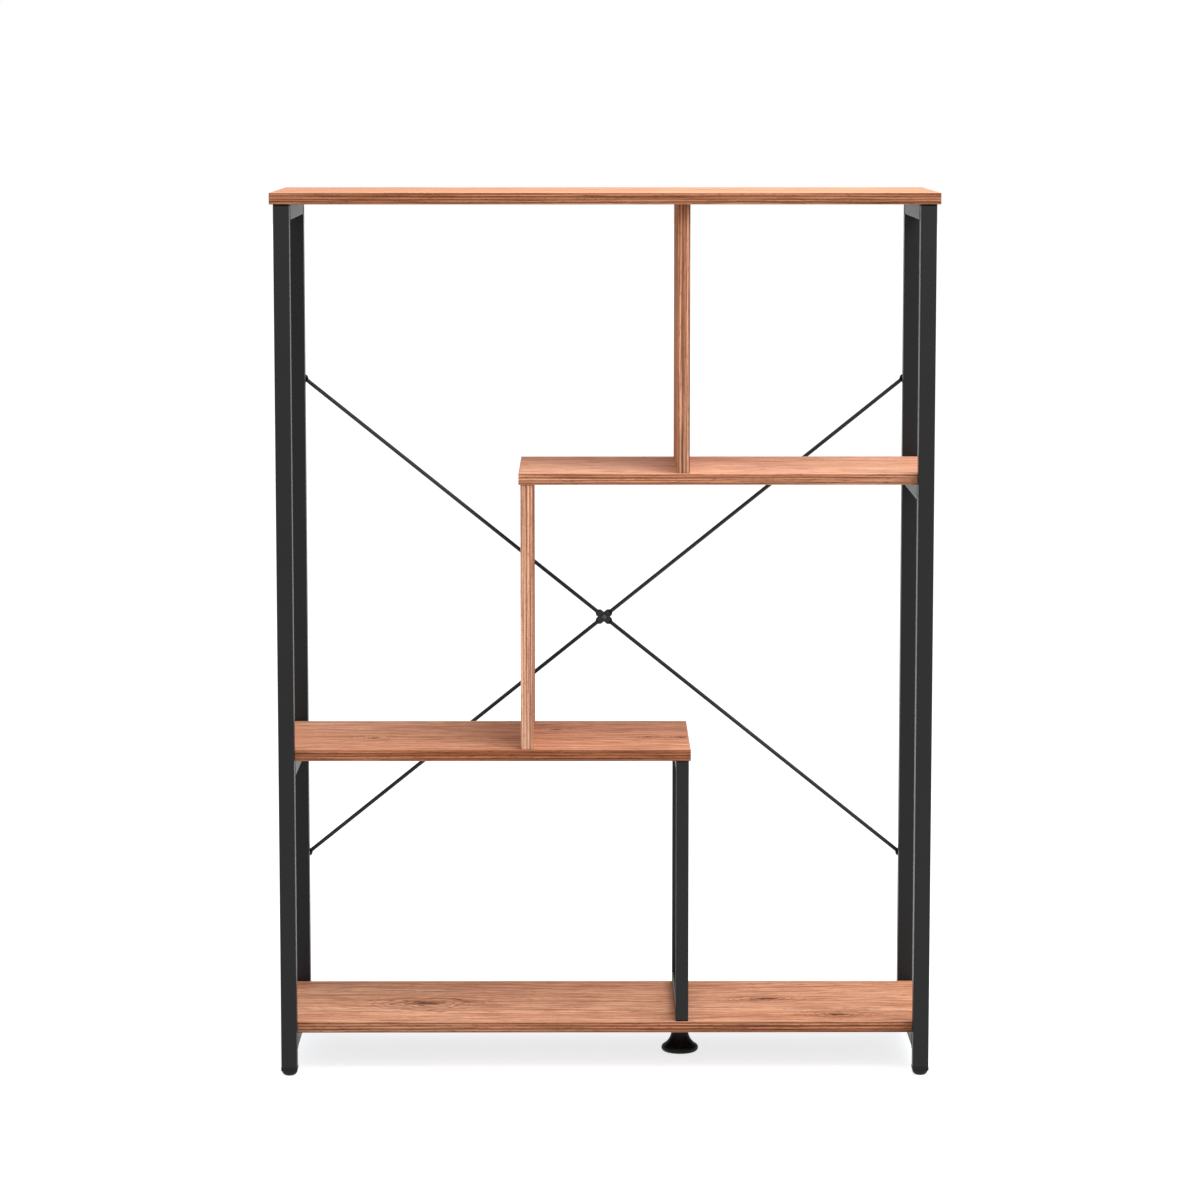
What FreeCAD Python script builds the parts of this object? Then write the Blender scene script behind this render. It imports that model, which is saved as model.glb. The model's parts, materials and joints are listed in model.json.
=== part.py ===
"""Staircase bookshelf: steel ladder frames, wood-effect boards that step across, and a wire cross brace.

Row frame: millimetres, +Z up, origin on the floor under the middle of the bookshelf.
-Y is the front, where books go in, and +X is the right-hand side seen from the front.
"""

import FreeCAD, Part
import os
import re

import Sketcher

NAMED_SIZE = re.compile(r"[a-z][a-z_]+")
# How nearly an edge's direction has to match an axis, and how near in millimetres counts as at a place.
PARALLEL = 0.999
NEAR = 0.001

# Driving dimensions in millimetres.
SIZES = {
    # Overall form
    "frame_width": 1030,
    "frame_depth": 350,
    "floor_clearance": 65,
    "tier_height": 421,
    "step_length": 650,
    "top_overhang": 6,
    # Boards and their edge bands
    "board_thickness": 18,
    "band_thickness": 2,
    "band_radius": 1.5,
    "shelf_gap": 1,
    "shelf_end_inset": 1,
    "divider_inset": 3,
    "divider_thickness": 19,
    "divider_setback": 2,
    # Side frames
    "post_size": 25,
    "post_wall": 1.5,
    "post_corner": 2,
    "cap_flange": 2.5,
    "plug_length": 16,
    "plug_wall": 2,
    "plug_clearance": 0.2,
    "rib_height": 1.2,
    "rib_spacing": 5,
    # Floor glides under the posts
    "glide_height": 14,
    "glide_flange": 5,
    "glide_lip": 0.5,
    "glide_diameter": 25.6,
    "glide_round": 8.5,
    # Inner support frame
    "inner_size": 20,
    "inner_wall": 1.2,
    "inner_corner": 1.5,
    "inner_inset": 3,
    "inner_setback": 2,
    "inner_cap_flange": 2,
    # Levelling foot under the bottom shelf
    "foot_diameter": 60,
    "foot_rim_radius": 6,
    "foot_neck_diameter": 27,
    "foot_flare_radius": 28,
    "foot_height": 42,
    "foot_neck_round": 2,
    "foot_socket_floor": 12,
    "foot_socket_clearance": 0.3,
    "stud_diameter": 10,
    "stud_head_diameter": 16,
    "stud_head_height": 5,
    "stud_collar_gap": 1,
    "stud_hex": 14,
    "stud_hex_height": 7,
    "stud_bite": 9.5,
    "running_clearance": 0.08,
    "lock_nut_hex": 17,
    "lock_nut_height": 6,
    "insert_flange": 1.5,
    "insert_flange_diameter": 24,
    "insert_diameter": 14,
    "insert_depth": 16,
    "insert_fit": 0.2,
    # Wire cross brace
    "brace_height": 692,
    "brace_rise": 404,
    "wire_diameter": 6.5,
    "paddle_width": 12.5,
    "paddle_thickness": 1.8,
    "paddle_reach": 15,
    "paddle_flare": 4,
    "paddle_round": 5,
    "hub_reach": 11.5,
    "brace_bolt_diameter": 5,
    "brace_head_diameter": 9.5,
    "brace_head_height": 2.8,
    "brace_head_round": 2,
    "brace_nut_hex": 8,
    "brace_nut_height": 4,
    "bolt_clearance": 0.3,
    "rivet_nut_diameter": 7,
    "rivet_nut_length": 11,
    "rivet_nut_flange": 1,
    "rivet_nut_flange_diameter": 10,
    # Screws that hold the boards down to the rails
    "screw_diameter": 4,
    "screw_head_diameter": 8,
    "screw_head_height": 2.6,
    "screw_bite": 12,
    "screw_clearance": 0.3,
    "screw_end_distance": 60,
    "access_hole_diameter": 10,
    # Cam fittings and dowels of the dividers
    "cam_diameter": 15,
    "cam_height": 12.5,
    "cam_distance": 34,
    "cam_end_distance": 45,
    "cam_clearance": 0.3,
    "cam_slot": 7.4,
    "cam_slot_spare": 4,
    "cam_bolt_diameter": 6,
    "cam_bolt_collar_diameter": 7.4,
    "cam_bolt_collar_height": 3,
    "cam_thread_diameter": 5,
    "cam_thread_bite": 11,
    "dowel_diameter": 8,
    "dowel_length": 30,
    "dowel_bite": 12,
    "dowel_clearance": 0.15,
}

# Places and lengths that follow from the driving dimensions.
PLACES = {
    "post_x": "frame_width / 2 - post_size / 2",
    "post_y": "frame_depth / 2 - post_size / 2",
    "rail_length": "frame_depth - 2 * post_size",
    "shelf_depth": "rail_length - 2 * shelf_gap",
    "shelf_end": "frame_width / 2 - shelf_end_inset",
    "step_end": "step_length - shelf_end",
    "top_end": "frame_width / 2 + top_overhang",
    "bottom_top": "floor_clearance + board_thickness",
    "lower_under": "bottom_top + tier_height",
    "lower_top": "lower_under + board_thickness",
    "upper_under": "lower_top + tier_height",
    "upper_top": "upper_under + board_thickness",
    "top_under": "upper_top + tier_height",
    "post_top": "top_under - cap_flange",
    "divider_x": "step_end - divider_inset - divider_thickness / 2",
    "divider_depth": "shelf_depth - 2 * divider_setback",
    "inner_x": "step_end - inner_inset - inner_size / 2",
    "inner_depth": "shelf_depth - 2 * inner_setback",
    "inner_y": "inner_depth / 2 - inner_size / 2",
    "inner_rail_length": "inner_depth - 2 * inner_size",
    "screw_y": "rail_length / 2 - screw_end_distance",
    "inner_screw_y": "inner_rail_length / 2 - screw_end_distance",
    "cam_y": "divider_depth / 2 - cam_end_distance",
    "rear_face": "frame_depth / 2",
    "front_wire_y": "rear_face + rivet_nut_flange + paddle_thickness / 2",
    "rear_wire_y": "front_wire_y + paddle_thickness",
    "brace_run": "2 * sqrt(post_x ^ 2 + brace_rise ^ 2)",
    "brace_slope": "atan(brace_rise / post_x)",
    "stud_top": "floor_clearance + stud_bite",
    "hex_under": "foot_height + stud_collar_gap",
    "nut_under": "floor_clearance - insert_flange - lock_nut_height",
}


def written(text):
    """Write every named size in a formula as the sheet cell that holds it."""
    homes = {name: f"Sizes.{name}" for name in SIZES}
    homes.update({name: f"Places.{name}" for name in PLACES})
    return NAMED_SIZE.sub(lambda word: homes.get(word.group(), word.group()), text)


def fill_sheets(doc):
    """Put the driving dimensions in one sheet and what follows from them in another."""
    sizes = doc.addObject("Spreadsheet::Sheet", "Sizes")
    for row, (name, number) in enumerate(SIZES.items(), start=1):
        sizes.set(f"A{row}", name)
        sizes.set(f"B{row}", str(number))
        sizes.setAlias(f"B{row}", name)
    places = doc.addObject("Spreadsheet::Sheet", "Places")
    for row, name in enumerate(PLACES, start=1):
        places.set(f"A{row}", name)
        places.setAlias(f"B{row}", name)
    doc.recompute()
    for row, formula in enumerate(PLACES.values(), start=1):
        places.set(f"B{row}", "=" + written(formula).replace("Places.", ""))
    doc.recompute()
    return sizes


class Maker:
    """Makes bodies, sketches and features whose sizes are bound to the sheets."""

    def __init__(self, doc, sheet):
        self.doc = doc
        self.sheet = sheet
        self.nodes = []

    def amount(self, formula):
        """Work out a formula of named sizes as a plain number."""
        result = self.sheet.evalExpression(written(formula))
        return float(getattr(result, "Value", result))

    def bind(self, thing, **formulas):
        """Bind each named property to a formula, with two underscores for a dot."""
        for name, formula in formulas.items():
            thing.setExpression(name.replace("__", "."), written(formula))

    def body(self, label, x="0", y="0", z="0", node=True):
        """Start a body whose origin stands at x, y, z."""
        body = self.doc.addObject("PartDesign::Body", label)
        body.Label = label
        body.AllowCompound = True
        self.bind(body, Placement__Base__x=x, Placement__Base__y=y, Placement__Base__z=z)
        if node:
            self.nodes.append(body)
        return body

    def turn(self, body, axis, formula):
        """Turn a body about an axis through its own origin."""
        body.Placement.Rotation = FreeCAD.Rotation(FreeCAD.Vector(*axis), self.amount(formula))
        self.bind(body, Placement__Rotation__Angle=formula)

    def group(self, label, bodies):
        """Gather loose pieces of one kind under one node."""
        group = self.doc.addObject("Part::Compound", label)
        group.Label = label
        group.Links = bodies
        self.nodes.append(group)
        return group

    def sketch(self, body, role, offset="0"):
        """Attach an empty sketch to one of the body's own origin planes."""
        sketch = body.newObject("Sketcher::SketchObject", f"{body.Name}_sketch")
        origin = body.Origin.OriginFeatures
        sketch.AttachmentSupport = (next(plane for plane in origin if plane.Role == role), [""])
        sketch.MapMode = "FlatFace"
        self.bind(sketch, AttachmentOffset__Base__z=offset)
        return sketch

    def locate(self, sketch, geometry, vertex, x, y):
        """Fix a sketch point at a distance from both axes, or on an axis where that is nil."""
        for kind, axis, formula in (("DistanceX", -2, x), ("DistanceY", -1, y)):
            amount = self.amount(formula)
            if amount == 0:
                sketch.addConstraint(Sketcher.Constraint("PointOnObject", geometry, vertex, axis))
                continue
            ends = (-1, 1, geometry, vertex) if amount > 0 else (geometry, vertex, -1, 1)
            index = sketch.addConstraint(Sketcher.Constraint(kind, *ends, abs(amount)))
            signed = formula if amount > 0 else f"-({formula})"
            sketch.setExpression(f"Constraints[{index}]", written(signed))

    def outline(self, sketch, corners):
        """Draw a closed outline of straight lines through its corners."""
        spots = [FreeCAD.Vector(self.amount(x), self.amount(y), 0) for x, y in corners]
        sides = [
            sketch.addGeometry(Part.LineSegment(spots[i - 1], spots[i])) for i in range(len(spots))
        ]
        for i, side in enumerate(sides):
            following = sides[(i + 1) % len(sides)]
            sketch.addConstraint(Sketcher.Constraint("Coincident", side, 2, following, 1))
        for side, (x, y) in zip(sides, corners):
            self.locate(sketch, side, 2, x, y)

    def rectangle(self, sketch, left, right, low, high):
        """Draw a rectangle between two x and two y formulas."""
        self.outline(sketch, [(left, low), (right, low), (right, high), (left, high)])

    def square(self, sketch, width):
        """Draw a square about the origin."""
        half = f"({width}) / 2"
        self.rectangle(sketch, f"-{half}", half, f"-{half}", half)

    def hexagon(self, sketch, flats):
        """Draw a regular hexagon of a given width across flats, points along x."""
        tip = f"({flats}) / sqrt(3)"
        flat = f"({flats}) / 2"
        corners = [(tip, "0"), (f"{tip} / 2", flat), (f"-{tip} / 2", flat)]
        corners += [(f"-{tip}", "0"), (f"-{tip} / 2", f"-{flat}"), (f"{tip} / 2", f"-{flat}")]
        self.outline(sketch, corners)

    def circles(self, sketch, diameter, centres=(("0", "0"),)):
        """Draw equal circles at each centre."""
        for x, y in centres:
            middle = FreeCAD.Vector(self.amount(x), self.amount(y), 0)
            radius = self.amount(diameter) / 2
            ring = sketch.addGeometry(Part.Circle(middle, FreeCAD.Vector(0, 0, 1), radius))
            self.locate(sketch, ring, 3, x, y)
            index = sketch.addConstraint(Sketcher.Constraint("Diameter", ring, 2 * radius))
            sketch.setExpression(f"Constraints[{index}]", written(diameter))

    def pad(self, body, sketch, length, middle=False, back=False):
        """Extrude a sketch to a length."""
        pad = body.newObject("PartDesign::Pad", f"{body.Name}_pad")
        pad.Profile = sketch
        pad.Midplane = middle
        pad.Reversed = back
        self.bind(pad, Length=length)
        return pad

    def pocket(self, body, sketch, depth=None, back=False, middle=False):
        """Cut a sketch's outline into the body, to a depth or right through."""
        pocket = body.newObject("PartDesign::Pocket", f"{body.Name}_pocket")
        pocket.Profile = sketch
        pocket.Reversed = back
        pocket.Midplane = middle
        if depth is None:
            pocket.Type = "ThroughAll"
        else:
            self.bind(pocket, Length=depth)
        return pocket

    def edged(self, body, kind, size, chosen):
        """Round or chamfer the edges of the body that a test picks."""
        self.doc.recompute()
        base = body.Tip
        edges = base.Shape.Edges
        names = [f"Edge{i}" for i, edge in enumerate(edges, start=1) if chosen(edge)]
        dressing = body.newObject(f"PartDesign::{kind}", f"{body.Name}_{kind.lower()}")
        dressing.Base = (base, names)
        self.bind(dressing, **{"Radius" if kind == "Fillet" else "Size": size})
        return dressing

    def rounds(self, body, levels, centres=(("0", "0"),)):
        """Stack round pads, each a foot height, a diameter and a height, at every centre."""
        for foot, diameter, height in levels:
            sketch = self.sketch(body, "XY_Plane", foot)
            self.circles(sketch, diameter, centres)
            self.pad(body, sketch, height)


def runs_along(edge, axis):
    """Tell whether an edge is straight and parallel to an axis, 0 for x to 2 for z."""
    if edge.Curve.TypeId != "Part::GeomLine":
        return False
    return abs(edge.Curve.Direction[axis]) > PARALLEL


def lies_at(edge, axis, place):
    """Tell whether an edge's middle lies a given distance from the origin along an axis."""
    return abs(abs(edge.CenterOfMass[axis]) - place) < NEAR


def tube(make, body, role, axis, width, wall, corner, length, middle):
    """Square tube with rounded outer corners, extruded along an axis."""
    outer = make.sketch(body, role)
    make.square(outer, width)
    make.pad(body, outer, length, middle=middle)
    make.edged(body, "Fillet", corner, lambda edge: runs_along(edge, axis))
    bore = make.sketch(body, role)
    make.square(bore, f"{width} - 2 * {wall}")
    if middle:
        make.pocket(body, bore, f"{length} + 2 * {width}", middle=True)
    else:
        make.pocket(body, bore, back=True)


def post(make, label, x, y, z, width, wall, corner, length):
    """Upright square tube that stands at x, y, z."""
    body = make.body(label, x, y, z)
    tube(make, body, "XY_Plane", 2, width, wall, corner, length, middle=False)
    return body


def rail(make, label, x, z, width, wall, corner, length, screw_y, upside_down=False):
    """Level square tube from front to back, with screw holes above and access holes below."""
    body = make.body(label, x, "0", z)
    if upside_down:
        make.turn(body, (0, 1, 0), "180")
    tube(make, body, "XZ_Plane", 1, width, wall, corner, length, middle=True)
    spots = [("0", screw_y), ("0", f"-{screw_y}")]
    above = make.sketch(body, "XY_Plane")
    make.circles(above, "screw_diameter + 2 * screw_clearance", spots)
    make.pocket(body, above, back=True)
    below = make.sketch(body, "XY_Plane")
    make.circles(below, "access_hole_diameter", spots)
    make.pocket(body, below)
    return body


def rivet_nut_holes(make, body):
    """Holes in the rear wall of a rear post for the nuts of the cross brace."""
    wall = make.sketch(body, "XZ_Plane")
    heights = ["brace_height + brace_rise - glide_height", "brace_height - brace_rise - glide_height"]
    hole = "rivet_nut_diameter + 2 * insert_fit"
    make.circles(wall, hole, [("0", height) for height in heights])
    make.pocket(body, wall)


def side_frames(make):
    """Two ladder frames of square tube, each with its rails between two posts."""
    size = ("post_size", "post_wall", "post_corner")
    for side, x in (("left", "-post_x"), ("right", "post_x")):
        for place, y in (("front", "-post_y"), ("rear", "post_y")):
            upright = post(
                make, f"{side}_{place}_post", x, y, "glide_height", *size, "post_top - glide_height"
            )
            if place == "rear":
                rivet_nut_holes(make, upright)
        step = "lower_under" if side == "left" else "upper_under"
        for level, under in (("top", "top_under"), ("step", step), ("bottom", "floor_clearance")):
            height = f"{under} - post_size / 2"
            rail(make, f"{side}_{level}_rail", x, height, *size, "rail_length", "screw_y")


def plug(make, body, width, wall, foot, upward):
    """Hollow square plug with two grip ribs, pushed into the end of a tube."""
    room = f"{width} - 2 * {wall}"
    block = make.sketch(body, "XY_Plane", foot)
    make.square(block, f"{room} - 2 * plug_clearance")
    make.pad(body, block, "plug_length", back=not upward)
    for rib in (1, 2):
        rise = f"{rib} * rib_spacing"
        level = f"{foot} + {rise}" if upward else f"{foot} - {rise}"
        collar = make.sketch(body, "XY_Plane", level)
        make.square(collar, room)
        make.pad(body, collar, "rib_height", back=not upward)
    core = make.sketch(body, "XY_Plane", foot)
    make.square(core, f"{room} - 2 * plug_clearance - 2 * plug_wall")
    make.pocket(body, core, "plug_length", back=upward)


def end_cap(make, label, x, y, z, width, wall, corner, flange, upward):
    """Flat cap that closes a tube end, flush with its sides."""
    body = make.body(label, x, y, z, node=False)
    plate = make.sketch(body, "XY_Plane")
    make.square(plate, width)
    make.pad(body, plate, flange, back=upward)
    make.edged(body, "Fillet", corner, lambda edge: runs_along(edge, 2))
    plug(make, body, width, wall, "0", upward)
    return body


def post_caps(make):
    """Caps on the four posts, under the top board."""
    caps = []
    for x in ("-post_x", "post_x"):
        for y in ("-post_y", "post_y"):
            size = ("post_size", "post_wall", "post_corner", "cap_flange")
            caps.append(end_cap(make, f"post_cap_{len(caps)}", x, y, "post_top", *size, False))
    make.group("post_top_caps", caps)


def glide(make, label, x, y):
    """Moulded floor glide: ribbed plug, square lip and a domed pad on the floor."""
    body = make.body(label, x, y)
    lip_foot = "glide_height - glide_flange"
    lip = make.sketch(body, "XY_Plane", lip_foot)
    make.square(lip, "post_size + 2 * glide_lip")
    make.pad(body, lip, "glide_flange")
    make.edged(body, "Fillet", "post_corner + glide_lip", lambda edge: runs_along(edge, 2))
    dome = make.sketch(body, "XY_Plane")
    make.circles(dome, "glide_diameter")
    make.pad(body, dome, lip_foot)
    make.edged(body, "Fillet", "glide_round", lambda edge: lies_at(edge, 2, 0))
    plug(make, body, "post_size", "post_wall", "glide_height", True)


def glides(make):
    """One glide under each post."""
    for side, x in (("left", "-post_x"), ("right", "post_x")):
        for place, y in (("front", "-post_y"), ("rear", "post_y")):
            glide(make, f"{side}_{place}_glide", x, y)


def inner_frame(make):
    """Closed frame of smaller tube that carries the free end of the lower step shelf."""
    size = ("inner_size", "inner_wall", "inner_corner")
    foot = "bottom_top + inner_cap_flange"
    length = "tier_height - 2 * inner_cap_flange"
    caps = []
    for place, y in (("front", "-inner_y"), ("rear", "inner_y")):
        post(make, f"inner_{place}_post", "inner_x", y, foot, *size, length)
        ends = (("top", "lower_under - inner_cap_flange", False), ("bottom", foot, True))
        for end, z, upward in ends:
            label = f"inner_{place}_{end}_cap"
            caps.append(end_cap(make, label, "inner_x", y, z, *size, "inner_cap_flange", upward))
    make.group("inner_post_caps", caps)
    span = ("inner_rail_length", "inner_screw_y")
    high = "lower_under - inner_size / 2"
    low = "bottom_top + inner_size / 2"
    rail(make, "inner_top_rail", "inner_x", high, *size, *span)
    rail(make, "inner_bottom_rail", "inner_x", low, *size, *span, upside_down=True)


def edge_bands(make, label, left, right, depth, z, thickness, ends):
    """Glued edge strips of a board: front and back, and both ends where they show."""
    reach = f"{depth} / 2"
    inside = f"{reach} - band_thickness"
    long_strips = make.body(f"{label}_long", z=z, node=False)
    plan = make.sketch(long_strips, "XY_Plane")
    make.rectangle(plan, left, right, inside, reach)
    make.rectangle(plan, left, right, f"-({reach})", f"-({inside})")
    make.pad(long_strips, plan, thickness)
    edge_y = make.amount(reach)
    make.edged(
        long_strips, "Fillet", "band_radius", lambda edge: runs_along(edge, 0) and lies_at(edge, 1, edge_y)
    )
    if not ends:
        return [long_strips]
    short_strips = make.body(f"{label}_short", z=z, node=False)
    plan = make.sketch(short_strips, "XY_Plane")
    make.rectangle(plan, left, f"{left} + band_thickness", f"-({inside})", inside)
    make.rectangle(plan, f"{right} - band_thickness", right, f"-({inside})", inside)
    make.pad(short_strips, plan, thickness)
    outer_x = (make.amount(left), make.amount(right))

    def on_outer_face(edge):
        """Pick the long edges of the strips' outer faces."""
        return runs_along(edge, 1) and min(abs(edge.CenterOfMass[0] - x) for x in outer_x) < NEAR

    make.edged(short_strips, "Fillet", "band_radius", on_outer_face)
    return [long_strips, short_strips]


def drill(make, body, holes):
    """Sink blind holes: spots, a diameter, a depth, and whether they enter from above."""
    for spots, diameter, depth, from_above in holes:
        mouth = make.sketch(body, "XY_Plane", "board_thickness" if from_above else "0")
        make.circles(mouth, diameter, spots)
        make.pocket(body, mouth, depth, back=not from_above)


def board(make, label, left, right, depth, z, holes):
    """Level board with a band on every edge and the blind holes of its fittings."""
    body = make.body(label, z=z)
    plan = make.sketch(body, "XY_Plane")
    inside = f"({depth} / 2 - band_thickness)"
    make.rectangle(plan, f"{left} + band_thickness", f"{right} - band_thickness", f"-{inside}", inside)
    make.pad(body, plan, "board_thickness")
    drill(make, body, holes)
    bands = edge_bands(make, f"{label}_band", left, right, depth, z, "board_thickness", ends=True)
    make.group(f"{label}_edge_bands", bands)


def screw_holes(xs, y, from_above=False):
    """Pilot holes over the rails that stand at each x."""
    spots = [(x, side) for x in xs for side in (y, f"-{y}")]
    return (spots, "screw_diameter + 2 * screw_clearance", "screw_bite", from_above)


def divider_holes(x, from_above):
    """Holes for the cam bolts and the dowel of a divider that stands at x."""
    threads = [(x, "cam_y"), (x, "-cam_y")]
    return [
        (threads, "cam_thread_diameter + 2 * cam_clearance", "cam_thread_bite", from_above),
        ([(x, "0")], "dowel_diameter + 2 * dowel_clearance", "dowel_bite", from_above),
    ]


def boards(make):
    """Top board, two step shelves and the full bottom shelf."""
    top_holes = [screw_holes(("-post_x", "post_x"), "screw_y")] + divider_holes("divider_x", False)
    board(make, "top_board", "-top_end", "top_end", "frame_depth", "top_under", top_holes)
    upper_holes = [screw_holes(("post_x",), "screw_y")]
    upper_holes += divider_holes("divider_x", True) + divider_holes("-divider_x", False)
    board(make, "upper_step_shelf", "-step_end", "shelf_end", "shelf_depth", "upper_under", upper_holes)
    lower_holes = [screw_holes(("-post_x",), "screw_y"), screw_holes(("inner_x",), "inner_screw_y")]
    lower_holes += divider_holes("-divider_x", True)
    board(make, "lower_step_shelf", "-shelf_end", "step_end", "shelf_depth", "lower_under", lower_holes)
    bottom_holes = [
        screw_holes(("-post_x", "post_x"), "screw_y"),
        screw_holes(("inner_x",), "inner_screw_y", from_above=True),
        ([("inner_x", "0")], "insert_diameter + 2 * insert_fit", "insert_depth", False),
    ]
    board(make, "bottom_shelf", "-shelf_end", "shelf_end", "shelf_depth", "floor_clearance", bottom_holes)


def screws(make, label, xs, y, under, downward=False):
    """Board screws: heads inside the rails, shanks through the wall into the board."""
    body = make.body(label, z=under)
    wall = "inner_wall" if "inner_x" in xs else "post_wall"
    spots = [(x, side) for x in xs for side in (y, f"-{y}")]
    reach = f"{wall} + screw_bite"
    if downward:
        levels = [(wall, "screw_head_diameter", "screw_head_height")]
        levels.append(("-screw_bite", "screw_diameter", reach))
    else:
        head_foot = f"-({wall} + screw_head_height)"
        levels = [(head_foot, "screw_head_diameter", "screw_head_height")]
        levels.append((f"-{wall}", "screw_diameter", reach))
    make.rounds(body, levels, spots)


def board_screws(make):
    """Screws from the rails of both frames into the boards that lie on them."""
    screws(make, "top_board_screws", ("-post_x", "post_x"), "screw_y", "top_under")
    screws(make, "upper_step_screws", ("post_x",), "screw_y", "upper_under")
    screws(make, "lower_step_screws", ("-post_x",), "screw_y", "lower_under")
    screws(make, "bottom_shelf_screws", ("-post_x", "post_x"), "screw_y", "floor_clearance")
    screws(make, "inner_top_screws", ("inner_x",), "inner_screw_y", "lower_under")
    screws(make, "inner_bottom_screws", ("inner_x",), "inner_screw_y", "bottom_top", downward=True)


def cam_spots():
    """Places of the cam fittings on a divider's side, as y and height."""
    heights = ("cam_distance", "tier_height - cam_distance")
    return [(y, height) for height in heights for y in ("cam_y", "-cam_y")]


def divider_board(make, body):
    """Upright board with cam pockets in one side and drilled ends."""
    plan = make.sketch(body, "XY_Plane")
    inside = "(divider_depth / 2 - band_thickness)"
    make.rectangle(plan, "-divider_thickness / 2", "divider_thickness / 2", f"-{inside}", inside)
    make.pad(body, plan, "tier_height")
    side = make.sketch(body, "YZ_Plane", "divider_thickness / 2")
    make.circles(side, "cam_diameter + 2 * cam_clearance", cam_spots())
    make.pocket(body, side, "cam_height")
    for level, back in (("0", True), ("tier_height", False)):
        bolts = make.sketch(body, "XY_Plane", level)
        spots = [("0", "cam_y"), ("0", "-cam_y")]
        make.circles(bolts, "cam_bolt_collar_diameter + 2 * cam_clearance", spots)
        make.pocket(body, bolts, "cam_distance", back=back)
        dowels = make.sketch(body, "XY_Plane", level)
        make.circles(dowels, "dowel_diameter + 2 * dowel_clearance")
        make.pocket(body, dowels, "dowel_length - dowel_bite", back=back)


def cams(make, body):
    """Round cams, each slotted for the head of its bolt."""
    faces = make.sketch(body, "YZ_Plane", "divider_thickness / 2")
    make.circles(faces, "cam_diameter", cam_spots())
    make.pad(body, faces, "cam_height", back=True)
    slots = make.sketch(body, "YZ_Plane", "divider_thickness / 2 - cam_height")
    half = "cam_slot / 2"
    high_cam = "tier_height - cam_distance"
    ends = (
        ("cam_distance - cam_diameter", "cam_distance + cam_slot_spare"),
        (f"{high_cam} - cam_slot_spare", f"{high_cam} + cam_diameter"),
    )
    for low, high in ends:
        for y in ("cam_y", "-cam_y"):
            make.rectangle(slots, f"{y} - {half}", f"{y} + {half}", low, high)
    make.pocket(body, slots, "cam_height - divider_thickness / 2 + cam_slot / 2", back=True)


def cam_bolts(make, body):
    """Steel bolts screwed into the boards above and below, with heads in the cams."""
    spots = [("0", "cam_y"), ("0", "-cam_y")]
    up = [
        ("-cam_thread_bite", "cam_thread_diameter", "cam_thread_bite"),
        ("0", "cam_bolt_collar_diameter", "cam_bolt_collar_height"),
        ("cam_bolt_collar_height", "cam_bolt_diameter", "cam_distance - cam_bolt_collar_height"),
    ]
    down = [(f"tier_height - ({foot}) - ({height})", wide, height) for foot, wide, height in up]
    make.rounds(body, up + down, spots)


def dowels(make, body):
    """One beech dowel in the middle of each end."""
    levels = [("-dowel_bite", "dowel_diameter", "dowel_length")]
    levels.append(("tier_height - dowel_length + dowel_bite", "dowel_diameter", "dowel_length"))
    make.rounds(body, levels)


def divider(make, name, x, z, turned):
    """Divider with its fittings; turned half round, its cams face the other way."""
    pieces = {
        name: divider_board,
        f"{name}_cams": cams,
        f"{name}_cam_bolts": cam_bolts,
        f"{name}_dowels": dowels,
    }
    for label, build in pieces.items():
        body = make.body(label, x, "0", z)
        build(make, body)
        if turned:
            make.turn(body, (0, 0, 1), "180")
    half = "divider_thickness / 2"
    bands = edge_bands(
        make, f"{name}_band", f"-{half}", half, "divider_depth", z, "tier_height", ends=False
    )
    for strips in bands:
        make.bind(strips, Placement__Base__x=x)
    make.group(f"{name}_edge_bands", bands)


def dividers(make):
    """Upper divider under the top board, lower divider under the upper step shelf."""
    divider(make, "upper_divider", "divider_x", "upper_top", turned=False)
    divider(make, "lower_divider", "-divider_x", "lower_top", turned=True)


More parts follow.
